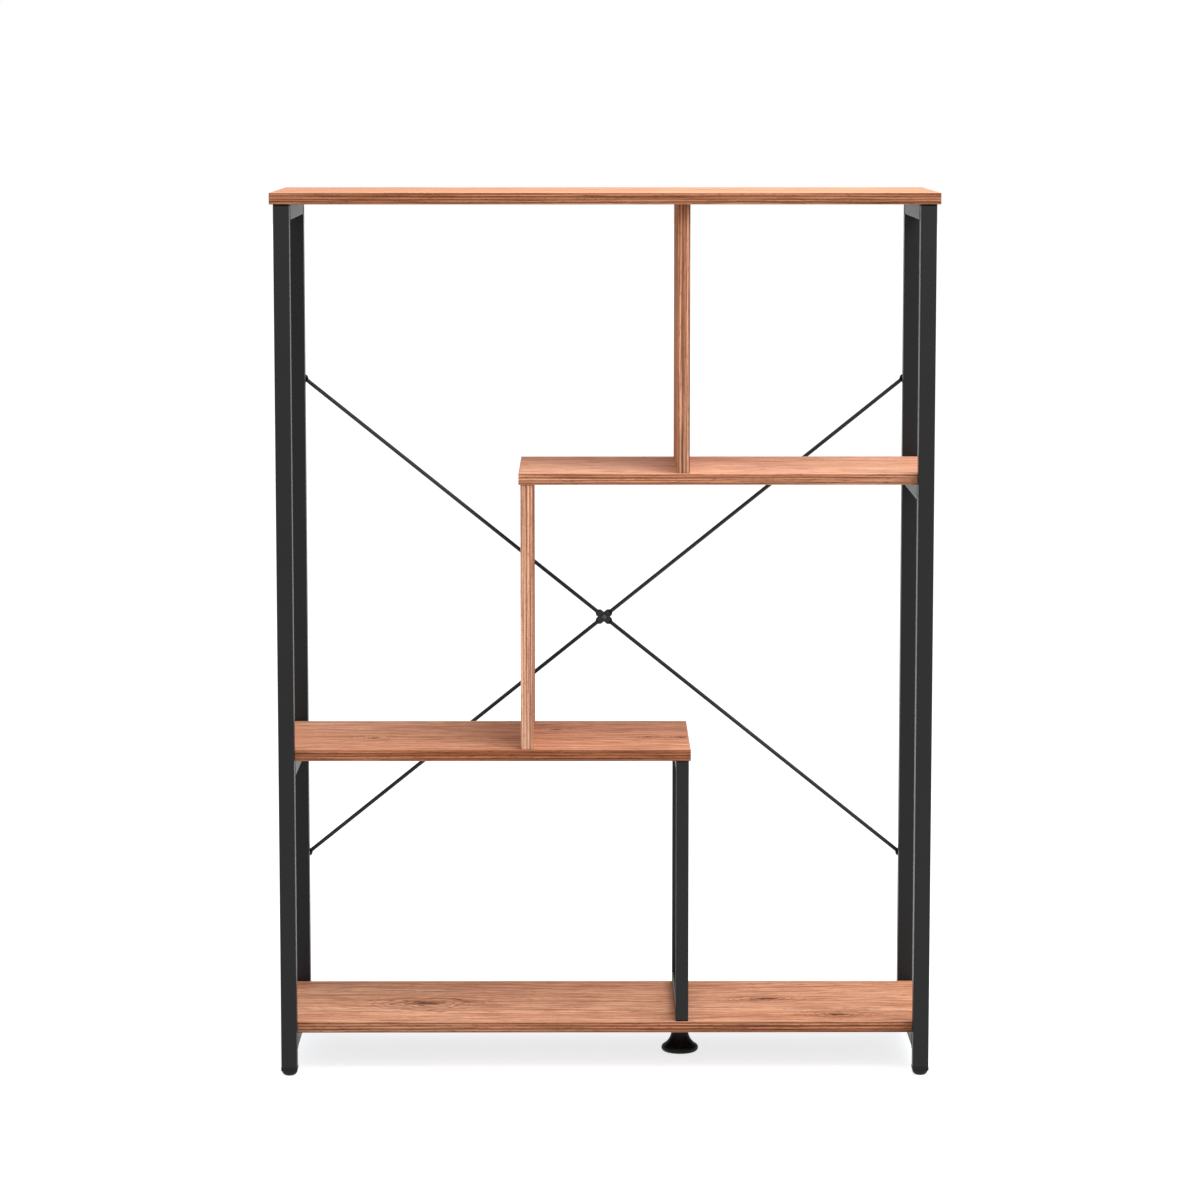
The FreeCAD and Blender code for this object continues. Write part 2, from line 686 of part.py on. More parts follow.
def brace_wire(make, label, y, slope):
    """Round wire pressed flat at its middle and at both ends, with a hole in each flat."""
    body = make.body(label, "0", y, "brace_height")
    make.turn(body, (0, 1, 0), slope)
    round_half = "wire_diameter / 2"
    wide = "paddle_width / 2"
    thin = "paddle_thickness / 2"
    clear = "wire_diameter"
    end = "brace_run / 2"
    shoulder = f"{end} - paddle_reach"

    section = make.sketch(body, "YZ_Plane")
    make.circles(section, "wire_diameter")
    make.pad(body, section, f"2 * ({end} - {wide})", middle=True)

    for side in ("", "-"):
        for press in (
            [
                ("-(hub_reach + paddle_flare)", f"{side}({clear})"),
                ("-(hub_reach + paddle_flare)", f"{side}({round_half})"),
                ("-hub_reach", f"{side}({thin})"),
                ("hub_reach", f"{side}({thin})"),
                ("hub_reach + paddle_flare", f"{side}({round_half})"),
                ("hub_reach + paddle_flare", f"{side}({clear})"),
            ],
            [
                (f"{shoulder} - paddle_flare", f"{side}({clear})"),
                (f"{shoulder} - paddle_flare", f"{side}({round_half})"),
                (shoulder, f"{side}({thin})"),
                (end, f"{side}({thin})"),
                (end, f"{side}({clear})"),
            ],
            [
                (f"-({shoulder} - paddle_flare)", f"{side}({clear})"),
                (f"-({shoulder} - paddle_flare)", f"{side}({round_half})"),
                (f"-({shoulder})", f"{side}({thin})"),
                (f"-({end})", f"{side}({thin})"),
                (f"-({end})", f"{side}({clear})"),
            ],
        ):
            cut = make.sketch(body, "XY_Plane")
            make.outline(cut, press)
            make.pocket(body, cut, "2 * wire_diameter", middle=True)

    flats = make.sketch(body, "XZ_Plane")
    make.outline(
        flats,
        [
            ("-(hub_reach + paddle_flare)", f"-{round_half}"),
            ("-hub_reach", f"-{wide}"),
            ("hub_reach", f"-{wide}"),
            ("hub_reach + paddle_flare", f"-{round_half}"),
            ("hub_reach + paddle_flare", round_half),
            ("hub_reach", wide),
            ("-hub_reach", wide),
            ("-(hub_reach + paddle_flare)", round_half),
        ],
    )
    for side in ("", "-"):
        make.outline(
            flats,
            [
                (f"{side}({shoulder} - paddle_flare)", f"-{round_half}"),
                (f"{side}({shoulder})", f"-{wide}"),
                (f"{side}({end} + {wide})", f"-{wide}"),
                (f"{side}({end} + {wide})", wide),
                (f"{side}({shoulder})", wide),
                (f"{side}({shoulder} - paddle_flare)", round_half),
            ],
        )
    make.pad(body, flats, "paddle_thickness", middle=True)
    tip = make.amount(f"{end} + {wide}")
    make.edged(
        body, "Fillet", "paddle_round", lambda edge: runs_along(edge, 1) and lies_at(edge, 0, tip)
    )
    holes = make.sketch(body, "XZ_Plane")
    spots = [("0", "0"), (end, "0"), (f"-({end})", "0")]
    make.circles(holes, "brace_bolt_diameter + 2 * bolt_clearance", spots)
    make.pocket(body, holes, "2 * wire_diameter", middle=True)


def brace_corners(rising):
    """Ends of one brace wire on the rear posts, as x and height."""
    high = "brace_height + brace_rise"
    low = "brace_height - brace_rise"
    if rising:
        return [("-post_x", low), ("post_x", high)]
    return [("-post_x", high), ("post_x", low)]


def turned_back(make, body, levels, spots):
    """Stack round pads along +Y, each with the y where it starts."""
    for start, diameter, length in levels:
        sketch = make.sketch(body, "XZ_Plane", f"-({start})")
        make.circles(sketch, diameter, spots)
        make.pad(body, sketch, length, back=True)


def button_bolts(make, label, seat, spots, grip):
    """Round-headed bolts whose heads sit behind the flats, pointing to the front."""
    body = make.body(label)
    head = [(seat, "brace_head_diameter", "brace_head_height")]
    turned_back(make, body, head, spots)
    rim = make.amount(f"{seat} + brace_head_height")
    make.edged(body, "Fillet", "brace_head_round", lambda edge: lies_at(edge, 1, rim))
    turned_back(make, body, [(f"{seat} - ({grip})", "brace_bolt_diameter", grip)], spots)


def brace(make):
    """Cross brace behind the shelves, bolted to nuts riveted into the rear posts."""
    brace_wire(make, "brace_wire_front", "front_wire_y", "brace_slope")
    brace_wire(make, "brace_wire_rear", "rear_wire_y", "-brace_slope")
    front_ends = brace_corners(rising=False)
    rear_ends = brace_corners(rising=True)

    nuts = make.body("brace_rivet_nuts")
    barrel = ("rear_face - rivet_nut_length", "rivet_nut_diameter", "rivet_nut_length")
    flange = ("rear_face", "rivet_nut_flange_diameter", "rivet_nut_flange")
    turned_back(make, nuts, [barrel, flange], front_ends + rear_ends)
    bore = make.sketch(nuts, "XZ_Plane", "-(rear_face + rivet_nut_flange)")
    make.circles(bore, "brace_bolt_diameter + 2 * running_clearance", front_ends + rear_ends)
    make.pocket(nuts, bore, "rivet_nut_length + rivet_nut_flange", back=True)

    spacers = make.body("brace_spacers")
    ring = ("front_wire_y - paddle_thickness / 2", "rivet_nut_flange_diameter", "paddle_thickness")
    turned_back(make, spacers, [ring], rear_ends)
    bore = make.sketch(spacers, "XZ_Plane", "-rear_wire_y")
    make.circles(bore, "brace_bolt_diameter + 2 * bolt_clearance", rear_ends)
    make.pocket(spacers, bore, "4 * paddle_thickness", middle=True)

    for wire, ends in (("front", front_ends), ("rear", rear_ends)):
        seat = f"{wire}_wire_y + paddle_thickness / 2"
        button_bolts(make, f"brace_{wire}_end_bolts", seat, ends, "rivet_nut_length")

    hub = [("0", "brace_height")]
    bolt = make.body("brace_centre_bolt")
    head_face = "front_wire_y - paddle_thickness / 2"
    turned_back(
        make, bolt, [(f"{head_face} - brace_head_height", "brace_head_diameter", "brace_head_height")], hub
    )
    rim = make.amount(f"{head_face} - brace_head_height")
    make.edged(bolt, "Fillet", "brace_head_round", lambda edge: lies_at(edge, 1, rim))
    stem = "2 * paddle_thickness + brace_nut_height"
    turned_back(make, bolt, [(head_face, "brace_bolt_diameter", stem)], hub)

    nut = make.body("brace_centre_nut", "0", "rear_wire_y + paddle_thickness / 2", "brace_height")
    block = make.sketch(nut, "XZ_Plane")
    make.hexagon(block, "brace_nut_hex")
    make.pad(nut, block, "brace_nut_height", back=True)
    bore = make.sketch(nut, "XZ_Plane")
    make.circles(bore, "brace_bolt_diameter + 2 * running_clearance")
    make.pocket(nut, bore, "2 * brace_nut_height", middle=True)


def foot_profile(make, body):
    """Half section of the flared foot: flat base, round rim, flare and straight neck."""
    rim = make.amount("foot_rim_radius")
    neck = make.amount("foot_neck_diameter / 2")
    flare = make.amount("foot_flare_radius")
    base = make.amount("foot_diameter / 2 - foot_rim_radius")
    height = make.amount("foot_height")
    across = neck + flare - base
    joined = rim + flare
    flare_z = rim + (joined**2 - across**2) ** 0.5
    share = rim / joined
    meeting = FreeCAD.Vector(base + share * across, rim + share * (flare_z - rim), 0)
    upward = FreeCAD.Vector(0, 0, 1)

    def arc(centre, radius, first, last):
        """Arc from one point round to another, anticlockwise about its centre."""
        circle = Part.Circle(centre, upward, radius)
        return Part.ArcOfCircle(circle, circle.parameter(first), circle.parameter(last))

    sketch = make.sketch(body, "XZ_Plane")
    origin = FreeCAD.Vector(0, 0, 0)
    base_end = FreeCAD.Vector(base, 0, 0)
    neck_foot = FreeCAD.Vector(neck, flare_z, 0)
    neck_top = FreeCAD.Vector(neck, height, 0)
    axis_top = FreeCAD.Vector(0, height, 0)
    floor = sketch.addGeometry(Part.LineSegment(origin, base_end))
    rim_arc = sketch.addGeometry(arc(FreeCAD.Vector(base, rim, 0), rim, base_end, meeting))
    flare_centre = FreeCAD.Vector(neck + flare, flare_z, 0)
    flare_arc = sketch.addGeometry(arc(flare_centre, flare, neck_foot, meeting))
    side = sketch.addGeometry(Part.LineSegment(neck_foot, neck_top))
    top = sketch.addGeometry(Part.LineSegment(neck_top, axis_top))
    axis = sketch.addGeometry(Part.LineSegment(axis_top, origin))
    joints = [
        ("Coincident", floor, 1, -1, 1),
        ("Horizontal", floor),
        ("Tangent", floor, 2, rim_arc, 1),
        ("Tangent", rim_arc, 2, flare_arc, 2),
        ("Tangent", flare_arc, 1, side, 1),
        ("Vertical", side),
        ("Coincident", side, 2, top, 1),
        ("Horizontal", top),
        ("Coincident", top, 2, axis, 1),
        ("Coincident", axis, 2, floor, 1),
        ("Vertical", axis),
    ]
    for joint in joints:
        sketch.addConstraint(Sketcher.Constraint(*joint))
    lengths = [
        (("DistanceX", floor, 1, floor, 2, base), "foot_diameter / 2 - foot_rim_radius"),
        (("Radius", rim_arc, rim), "foot_rim_radius"),
        (("Radius", flare_arc, flare), "foot_flare_radius"),
        (("DistanceX", top, 2, top, 1, neck), "foot_neck_diameter / 2"),
        (("DistanceY", axis, 2, axis, 1, height), "foot_height"),
    ]
    for constraint, formula in lengths:
        index = sketch.addConstraint(Sketcher.Constraint(*constraint))
        sketch.setExpression(f"Constraints[{index}]", written(formula))
    return sketch


def levelling_foot(make):
    """Flared foot on a threaded stud, screwed into an insert in the bottom shelf."""
    base = make.body("centre_foot_base", "inner_x", "0", "0")
    sketch = foot_profile(make, base)
    turned = base.newObject("PartDesign::Revolution", "centre_foot_base_turned")
    turned.Profile = sketch
    turned.ReferenceAxis = (sketch, ["V_Axis"])
    turned.Angle = 360
    make.edged(base, "Fillet", "foot_neck_round", lambda edge: lies_at(edge, 2, make.amount("foot_height")))
    socket = make.sketch(base, "XY_Plane", "foot_socket_floor")
    make.circles(socket, "stud_head_diameter + 2 * foot_socket_clearance")
    make.pocket(base, socket, "stud_head_height + foot_socket_clearance", back=True)
    bore = make.sketch(base, "XY_Plane", "foot_height")
    make.circles(bore, "stud_diameter + 2 * running_clearance")
    make.pocket(base, bore, "foot_height - foot_socket_floor")

    stud = make.body("centre_foot_stud", "inner_x", "0", "0")
    head = ("foot_socket_floor", "stud_head_diameter", "stud_head_height")
    shank = ("foot_socket_floor", "stud_diameter", "stud_top - foot_socket_floor")
    make.rounds(stud, [head, shank])
    hexagon = make.sketch(stud, "XY_Plane", "hex_under")
    make.hexagon(hexagon, "stud_hex")
    make.pad(stud, hexagon, "stud_hex_height")

    nut = make.body("centre_foot_lock_nut", "inner_x", "0", "nut_under")
    block = make.sketch(nut, "XY_Plane")
    make.hexagon(block, "lock_nut_hex")
    make.pad(nut, block, "lock_nut_height")
    bore = make.sketch(nut, "XY_Plane")
    make.circles(bore, "stud_diameter + 2 * running_clearance")
    make.pocket(nut, bore, back=True)

    insert = make.body("centre_foot_insert", "inner_x", "0", "floor_clearance")
    flange = ("-insert_flange", "insert_flange_diameter", "insert_flange")
    make.rounds(insert, [flange, ("0", "insert_diameter", "insert_depth")])
    bore = make.sketch(insert, "XY_Plane", "-insert_flange")
    make.circles(bore, "stud_diameter + 2 * running_clearance")
    make.pocket(insert, bore, "insert_flange + insert_depth", back=True)


def write_parts(make):
    """Check the whole document, then write each node to its own file."""
    make.doc.recompute()
    broken = [
        thing.Label for thing in make.doc.Objects if {"Invalid", "Error"} & set(thing.State)
    ]
    if broken:
        raise RuntimeError(f"these objects failed: {broken}")
    for node in make.nodes:
        if node.Shape.isNull() or not node.Shape.isValid() or not node.Shape.Solids:
            raise RuntimeError(f"{node.Label} has no valid solid")
    os.makedirs("parts", exist_ok=True)
    for node in make.nodes:
        node.Shape.exportStep(f"parts/{node.Label}.step")
        print(f"{node.Label}: {len(node.Shape.Solids)} solids, {node.Shape.Volume / 1000:.2f} cm3")


def main():
    """Build the bookshelf and write its parts."""
    doc = FreeCAD.newDocument("StaircaseBookshelf")
    make = Maker(doc, fill_sheets(doc))
    side_frames(make)
    post_caps(make)
    glides(make)
    inner_frame(make)
    boards(make)
    board_screws(make)
    dividers(make)
    brace(make)
    levelling_foot(make)
    write_parts(make)


main()
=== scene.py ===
"""Staircase bookshelf: finishes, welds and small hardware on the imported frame.

Metres, +Z up, origin on the floor under the middle of the bookshelf. -Y is the front.
"""

import json
import logging
import math
from abc import ABC, abstractmethod
from collections.abc import Callable, Iterable, Sequence
from dataclasses import dataclass, field, replace
from enum import Enum

import bmesh
import bpy
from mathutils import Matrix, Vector


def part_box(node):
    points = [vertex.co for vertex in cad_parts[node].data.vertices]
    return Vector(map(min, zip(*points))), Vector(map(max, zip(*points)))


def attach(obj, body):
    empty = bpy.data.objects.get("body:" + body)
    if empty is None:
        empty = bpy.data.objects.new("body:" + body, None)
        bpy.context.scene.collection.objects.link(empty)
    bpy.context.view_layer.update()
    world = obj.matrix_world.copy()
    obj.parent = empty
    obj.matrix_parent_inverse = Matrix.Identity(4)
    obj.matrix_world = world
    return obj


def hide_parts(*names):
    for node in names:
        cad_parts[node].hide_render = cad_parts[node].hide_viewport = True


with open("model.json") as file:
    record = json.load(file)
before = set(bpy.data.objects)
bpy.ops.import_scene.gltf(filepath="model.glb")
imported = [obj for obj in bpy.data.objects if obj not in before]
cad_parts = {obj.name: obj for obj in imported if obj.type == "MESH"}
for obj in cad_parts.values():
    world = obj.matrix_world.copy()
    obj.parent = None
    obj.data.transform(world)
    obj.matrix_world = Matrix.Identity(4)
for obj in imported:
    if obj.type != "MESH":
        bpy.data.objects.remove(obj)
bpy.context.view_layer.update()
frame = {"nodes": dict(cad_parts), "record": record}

MM = 0.001
LOG = logging.getLogger("staircase_bookshelf")

Tree = bpy.types.NodeTree
Node = bpy.types.Node
Socket = bpy.types.NodeSocket
# What feeds a node: a socket of another node, or the node itself, which stands for its first output.
Feed = Socket | Node
Mesh = bpy.types.Mesh
Piece = bpy.types.Object
# Radius of a ring in each direction.
Reach = Callable[[float], float]
# Height and reach of a ring of points; a round one has a plain radius.
Row = tuple[float, float | Reach]
# Start and end of a line, and a place with the way that a piece on it faces.
Segment = tuple[Vector, Vector]
Spot = tuple[Vector, Vector]
# Width across the grain and length along it.
Size = tuple[float, float]

# Kinds of node that are used often.
MATH = "ShaderNodeMath"
VECTOR_MATH = "ShaderNodeVectorMath"
MAP_RANGE = "ShaderNodeMapRange"
NOISE = "ShaderNodeTexNoise"

# Edges that fold harder than this stay sharp when a mesh is shaded smooth.
SHARP = math.radians(32)
# Refraction of melamine, powder coat and plastic.
RESIN_IOR = 1.5
# Width of the slow clouding on coats.
CLOUD = 60 * MM
# Size of the stretches in which sawn grain wanders to one side.
WANDER: Size = (130 * MM, 600 * MM)
# Growth rings stray together over this many of their widths.
RINGS_TOGETHER = 3
# Share of a ring that is pale early wood, and how steeply the late wood darkens after it.
EARLY_WOOD = 0.35
LATE_WOOD_CURVE = 2.0
# How squarely a face looks sideways when it counts as the end of a board.
END_FACE = 0.6
# How squarely a face looks up or down where the painted highlight on a band's rounded edge begins, and
# where it is full.
EDGE_BEGINS = 0.6
EDGE_FULL = 0.95


def linear(hex_colour: str) -> tuple[float, float, float, float]:
    """Turn an sRGB hex colour into linear RGBA.

    Args:
        hex_colour: Colour written as "#rrggbb".

    Returns:
        Linear red, green, blue and an alpha of 1.
    """
    channels = [int(hex_colour[i : i + 2], 16) / 255 for i in (1, 3, 5)]
    curved = [c / 12.92 if c <= 0.04045 else ((c + 0.055) / 1.055) ** 2.4 for c in channels]
    return curved[0], curved[1], curved[2], 1.0


def add_node(tree: Tree, kind: str, inputs: dict | None = None, **settings: object) -> Node:
    """Add a node with its settings and links.

    Args:
        tree: Shader or geometry tree that gets the node.
        kind: Node type, such as "ShaderNodeMix".
        inputs: Socket name or index to a value, or to what feeds it.
        settings: Properties of the node itself.

    Returns:
        The new node.
    """
    node = tree.nodes.new(kind)
    for name, value in settings.items():
        setattr(node, name, value)
    for key, value in (inputs or {}).items():
        if isinstance(value, Feed):
            tree.links.new(value.outputs[0] if isinstance(value, Node) else value, node.inputs[key])
        else:
            node.inputs[key].default_value = value
    return node


class Finish(ABC):
    """A real material and how its surface was made."""

    name: str

    def material(self) -> bpy.types.Material:
        """Make the finish's material once, and hand out the same one afterwards."""
        found = bpy.data.materials.get(self.name)
        if found:
            return found
        made = bpy.data.materials.new(self.name)
        made.use_nodes = True
        made.node_tree.nodes.clear()
        shader = self.surface(made.node_tree)
        add_node(made.node_tree, "ShaderNodeOutputMaterial", {"Surface": shader})
        return made

    @abstractmethod
    def surface(self, tree: Tree) -> Feed:
        """Draw the finish in a shader tree and return its shader."""


class Grain(Enum):
    """Which way printed wood grain runs, as the axes that stand for along, across and through."""

    SIDEWAYS = ("X", "Y", "Z")
    UPRIGHT = ("Z", "Y", "X")


@dataclass(frozen=True)
class Marks:
    """How noise becomes printed marks: its octaves, and its value at no mark and at a full one."""

    octaves: float
    low: float
    high: float


TONE = Marks(1.0, 0.36, 0.66)
STREAKS = Marks(5.0, 0.43, 0.62)
FIBRES = Marks(3.0, 0.47, 0.62)
PORES = Marks(2.0, 0.55, 0.68)


@dataclass(frozen=True)
class Knot:
    """A knot in the print: its middle on the board and its half length and half width, in metres.

    Its outline is lumpy, rings lie about its dark heart, and the grain is pulled round it.
    """

    x: float
    y: float
    length: float
    width: float
    lumps: float = 2.2
    # How far the lumps swing the outline, as a share of the knot's own size.
    swing: float = 0.4
    pull: float = 0.85
    rings: int = 4
    # A ring shows where its wave is higher than this, and gets as dark as this.
    ring_from: float = 0.1
    ring_shade: float = 0.9
    # Where the heart begins and where it is darkest, as shares of the knot's own size.
    heart: tuple[float, float] = (0.4, 0.1)


@dataclass(frozen=True)
class OakPrint(Finish):
    """Melamine paper printed with oak and pressed with a pore texture.

    It gives the eye long streaks of warm brown and fine dark fibres on a matt face.
    """

    name: str
    grain: Grain
    # Ground, body, streaks and lines.
    tints: tuple[str, str, str, str] = ("#efb695", "#dd9f7e", "#ae6d4a", "#763f21")
    knot_tint: str = "#4a210e"
    # Slow changes of tone, broad streaks, fibres and pores. Real pores are near 0.3 mm wide, and are
    # drawn coarser so that they show.
    tone: Size = (85 * MM, 900 * MM)
    streak: Size = (10 * MM, 300 * MM)
    fibre: Size = (4.5 * MM, 75 * MM)
    pore: Size = (2.4 * MM, 16 * MM)
    # Distance between growth rings, and how far the grain wanders.
    ring: float = 15 * MM
    wander: float = 24 * MM
    # How many ring widths the growth rings stray.
    astray: float = 5.0
    # How far each kind of mark takes the print to its own colour.
    ring_depth: float = 0.4
    streak_depth: float = 0.5
    fibre_depth: float = 0.5
    pore_depth: float = 0.45
    knot_depth: float = 0.9
    edge_highlight_depth: float = 0.85
    relief: float = 0.2 * MM
    gloss: float = 0.01
    ends_turned: bool = False
    # Colour of the painted highlight on a band's rounded edges, or none.
    edge_highlight_tint: str = ""
    knots: tuple[Knot, ...] = ()

    def surface(self, tree: Tree) -> Feed:
        """Lay tone, streaks, rings, fibres, pores and knots over each other along the grain, and a
        painted highlight on rounded edges.
        """
        place = self.wandered(tree, self.along_grain(tree))
        knotted: Feed | float = 0.0
        for knot in self.knots:
            place, shade = self.bent_round(tree, place, knot)
            knotted = add_node(tree, MATH, {0: knotted, 1: shade}, operation="MAXIMUM")
        tone = self.layer(tree, place, self.tone, TONE)
        streaks = self.layer(tree, place, self.streak, STREAKS)
        fibres = self.layer(tree, place, self.fibre, FIBRES)
        pores = self.layer(tree, place, self.pore, PORES)
        ground, body, dark, line = self.tints
        layers = [
            (body, tone, 1.0),
            (dark, streaks, self.streak_depth),
            (line, self.growth_rings(tree, place), self.ring_depth),
            (line, fibres, self.fibre_depth),
            (line, pores, self.pore_depth),
        ]
        if self.knots:
            layers.append((self.knot_tint, knotted, self.knot_depth))
        # Paint a paler highlight on the rounded edges.
        if self.edge_highlight_tint:
            layers.append((self.edge_highlight_tint, self.edge_highlight_mask(tree), self.edge_highlight_depth))
        colour: object = linear(ground)
        for tint, marks, depth in layers:
            share = add_node(tree, MATH, {0: marks, 1: depth}, operation="MULTIPLY")
            mix = {0: share, 6: colour, 7: linear(tint)}
            colour = add_node(tree, "ShaderNodeMix", mix, data_type="RGBA").outputs[2]
        rough = add_node(tree, MAP_RANGE, {"Value": fibres, "To Min": 0.5, "To Max": 0.62})
        pressed = add_node(tree, MATH, {0: fibres, 1: pores}, operation="ADD")
        height = {"Height": pressed, "Strength": 0.25, "Distance": self.relief}
        sockets = {
            "Base Color": colour,
            "Roughness": rough,
            "Normal": add_node(tree, "ShaderNodeBump", height, invert=True),
            "IOR": RESIN_IOR,
            "Specular IOR Level": self.gloss,
        }
        return add_node(tree, "ShaderNodeBsdfPrincipled", sockets)

    def facing(self, tree: Tree, axis: str) -> Feed:
        """Tell how squarely a face looks along an axis, from 0 to 1."""
        normal = add_node(tree, "ShaderNodeNewGeometry").outputs["Normal"]
        part = add_node(tree, "ShaderNodeSeparateXYZ", {0: normal}).outputs[axis]
        return add_node(tree, MATH, {0: part}, operation="ABSOLUTE")

    def edge_highlight_mask(self, tree: Tree) -> Feed:
        """Mark the rounded edges of a band, which look up or down, for a paler painted highlight."""
        limits = {"Value": self.facing(tree, "Z"), "From Min": EDGE_BEGINS, "From Max": EDGE_FULL}
        return add_node(tree, MAP_RANGE, limits)

    def along_grain(self, tree: Tree) -> Feed:
        """Turn the object's coordinates so that the grain runs along the first axis."""
        place = add_node(tree, "ShaderNodeTexCoord").outputs["Object"]
        apart = add_node(tree, "ShaderNodeSeparateXYZ", {0: place}).outputs
        along, across, through = (apart[axis] for axis in self.grain.value)
        straight = add_node(tree, "ShaderNodeCombineXYZ", {0: along, 1: across, 2: through})
        if not self.ends_turned:
            return straight
        turned = add_node(tree, "ShaderNodeCombineXYZ", {0: across, 1: along, 2: through})
        end = add_node(tree, MATH, {0: self.facing(tree, "X"), 1: END_FACE}, operation="GREATER_THAN")
        choice = {0: end, 4: straight, 5: turned}
        return add_node(tree, "ShaderNodeMix", choice, data_type="VECTOR").outputs[1]

    def stretched(self, tree: Tree, place: Feed, size: Size) -> Feed:
        """Scale coordinates so that a size along and across the grain becomes one."""
        across, along = size
        shares = {0: place, 1: (1 / along, 1 / across, 1 / across)}
        return add_node(tree, VECTOR_MATH, shares, operation="MULTIPLY")

    def wandered(self, tree: Tree, place: Feed) -> Feed:
        """Let the grain wander gently across the board, as sawn grain does."""
        wide = self.stretched(tree, place, WANDER)
        drift = add_node(tree, NOISE, {"Vector": wide, "Scale": 1.0, "Detail": 1.0})
        centred = {0: drift.outputs["Color"], 1: (0.5, 0.5, 0.5)}
        aside = add_node(tree, VECTOR_MATH, centred, operation="SUBTRACT")
        moved = {0: aside, 1: (0, 2 * self.wander, 2 * self.wander), 2: place}
        return add_node(tree, VECTOR_MATH, moved, operation="MULTIPLY_ADD")

    def bent_round(self, tree: Tree, place: Feed, knot: Knot) -> tuple[Feed, Feed]:
        """Bend the grain round a knot, and draw its dark heart and the rings about it.

        Args:
            tree: Shader tree.
            place: Coordinates along, across and through the grain.
            knot: Where the knot is and how large.

        Returns:
            The bent coordinates, and how dark the knot is.
        """
        offset = add_node(tree, VECTOR_MATH, {0: place, 1: (knot.x, knot.y, 0.0)}, operation="SUBTRACT")
        shares = {0: offset, 1: (1 / knot.length, 1 / knot.width, 0.0)}
        scaled = add_node(tree, VECTOR_MATH, shares, operation="MULTIPLY")
        far = add_node(tree, VECTOR_MATH, {0: scaled}, operation="LENGTH").outputs["Value"]
        lumps = add_node(tree, NOISE, {"Vector": scaled, "Scale": knot.lumps, "Detail": 2.0})
        swing = {"Value": lumps, "To Min": -knot.swing, "To Max": knot.swing}
        uneven = add_node(tree, MAP_RANGE, swing)
        reach = add_node(tree, MATH, {0: far, 1: uneven}, operation="ADD")
        square = add_node(tree, MATH, {0: reach, 1: reach}, operation="MULTIPLY")
        minus = add_node(tree, MATH, {0: square, 1: -1.0}, operation="MULTIPLY")
        near = add_node(tree, MATH, {0: minus}, operation="EXPONENT")
        pull = add_node(tree, VECTOR_MATH, {0: offset, 1: (0, -knot.pull, 0)}, operation="MULTIPLY")
        moved = add_node(tree, VECTOR_MATH, {0: pull, "Scale": near}, operation="SCALE")
        bent = add_node(tree, VECTOR_MATH, {0: place, 1: moved}, operation="ADD")
        phase = add_node(tree, MATH, {0: reach, 1: knot.rings * math.tau}, operation="MULTIPLY")
        wave = add_node(tree, MATH, {0: phase}, operation="SINE")
        crest = {"Value": wave, "From Min": knot.ring_from, "To Max": knot.ring_shade}
        ring = add_node(tree, MAP_RANGE, crest)
        rings = add_node(tree, MATH, {0: ring, 1: near}, operation="MULTIPLY")
        inside = {"Value": reach, "From Min": knot.heart[0], "From Max": knot.heart[1]}
        heart = add_node(tree, MAP_RANGE, inside)
        shade = add_node(tree, MATH, {0: heart, 1: rings}, operation="MAXIMUM")
        return bent, shade

    def growth_rings(self, tree: Tree, place: Feed) -> Feed:
        """Draw the lines of the growth rings, which darken slowly and end sharply.

        Args:
            tree: Shader tree.
            place: Coordinates along, across and through the grain.

        Returns:
            Marks from 0 to 1.
        """
        wide = self.stretched(tree, place, (RINGS_TOGETHER * self.ring, self.streak[1]))
        drift = add_node(tree, NOISE, {"Vector": wide, "Detail": 4.0, "Scale": 1.0})
        apart = add_node(tree, "ShaderNodeSeparateXYZ", {0: place}).outputs
        depth = add_node(tree, MATH, {0: apart["Y"], 1: apart["Z"]}, operation="ADD")
        count = add_node(tree, MATH, {0: depth, 1: self.ring}, operation="DIVIDE")
        strayed = add_node(tree, MATH, {0: drift, 1: self.astray, 2: count}, operation="MULTIPLY_ADD")
        share = add_node(tree, MATH, {0: strayed}, operation="FRACT")
        late = add_node(tree, MAP_RANGE, {"Value": share, "From Min": EARLY_WOOD})
        return add_node(tree, MATH, {0: late, 1: LATE_WOOD_CURVE}, operation="POWER")

    def layer(self, tree: Tree, place: Feed, size: Size, marks: Marks) -> Feed:
        """Draw noise stretched along the grain.

        Args:
            tree: Shader tree.
            place: Coordinates along, across and through the grain.
            size: Size of a mark, in metres.
            marks: How the noise becomes marks.

        Returns:
            Marks from 0 to 1.
        """
        spread = {"Vector": self.stretched(tree, place, size), "Scale": 1.0}
        spread |= {"Detail": marks.octaves, "Roughness": 0.6}
        noise = add_node(tree, NOISE, spread)
        limits = {"Value": noise, "From Min": marks.low, "From Max": marks.high}
        return add_node(tree, MAP_RANGE, limits)


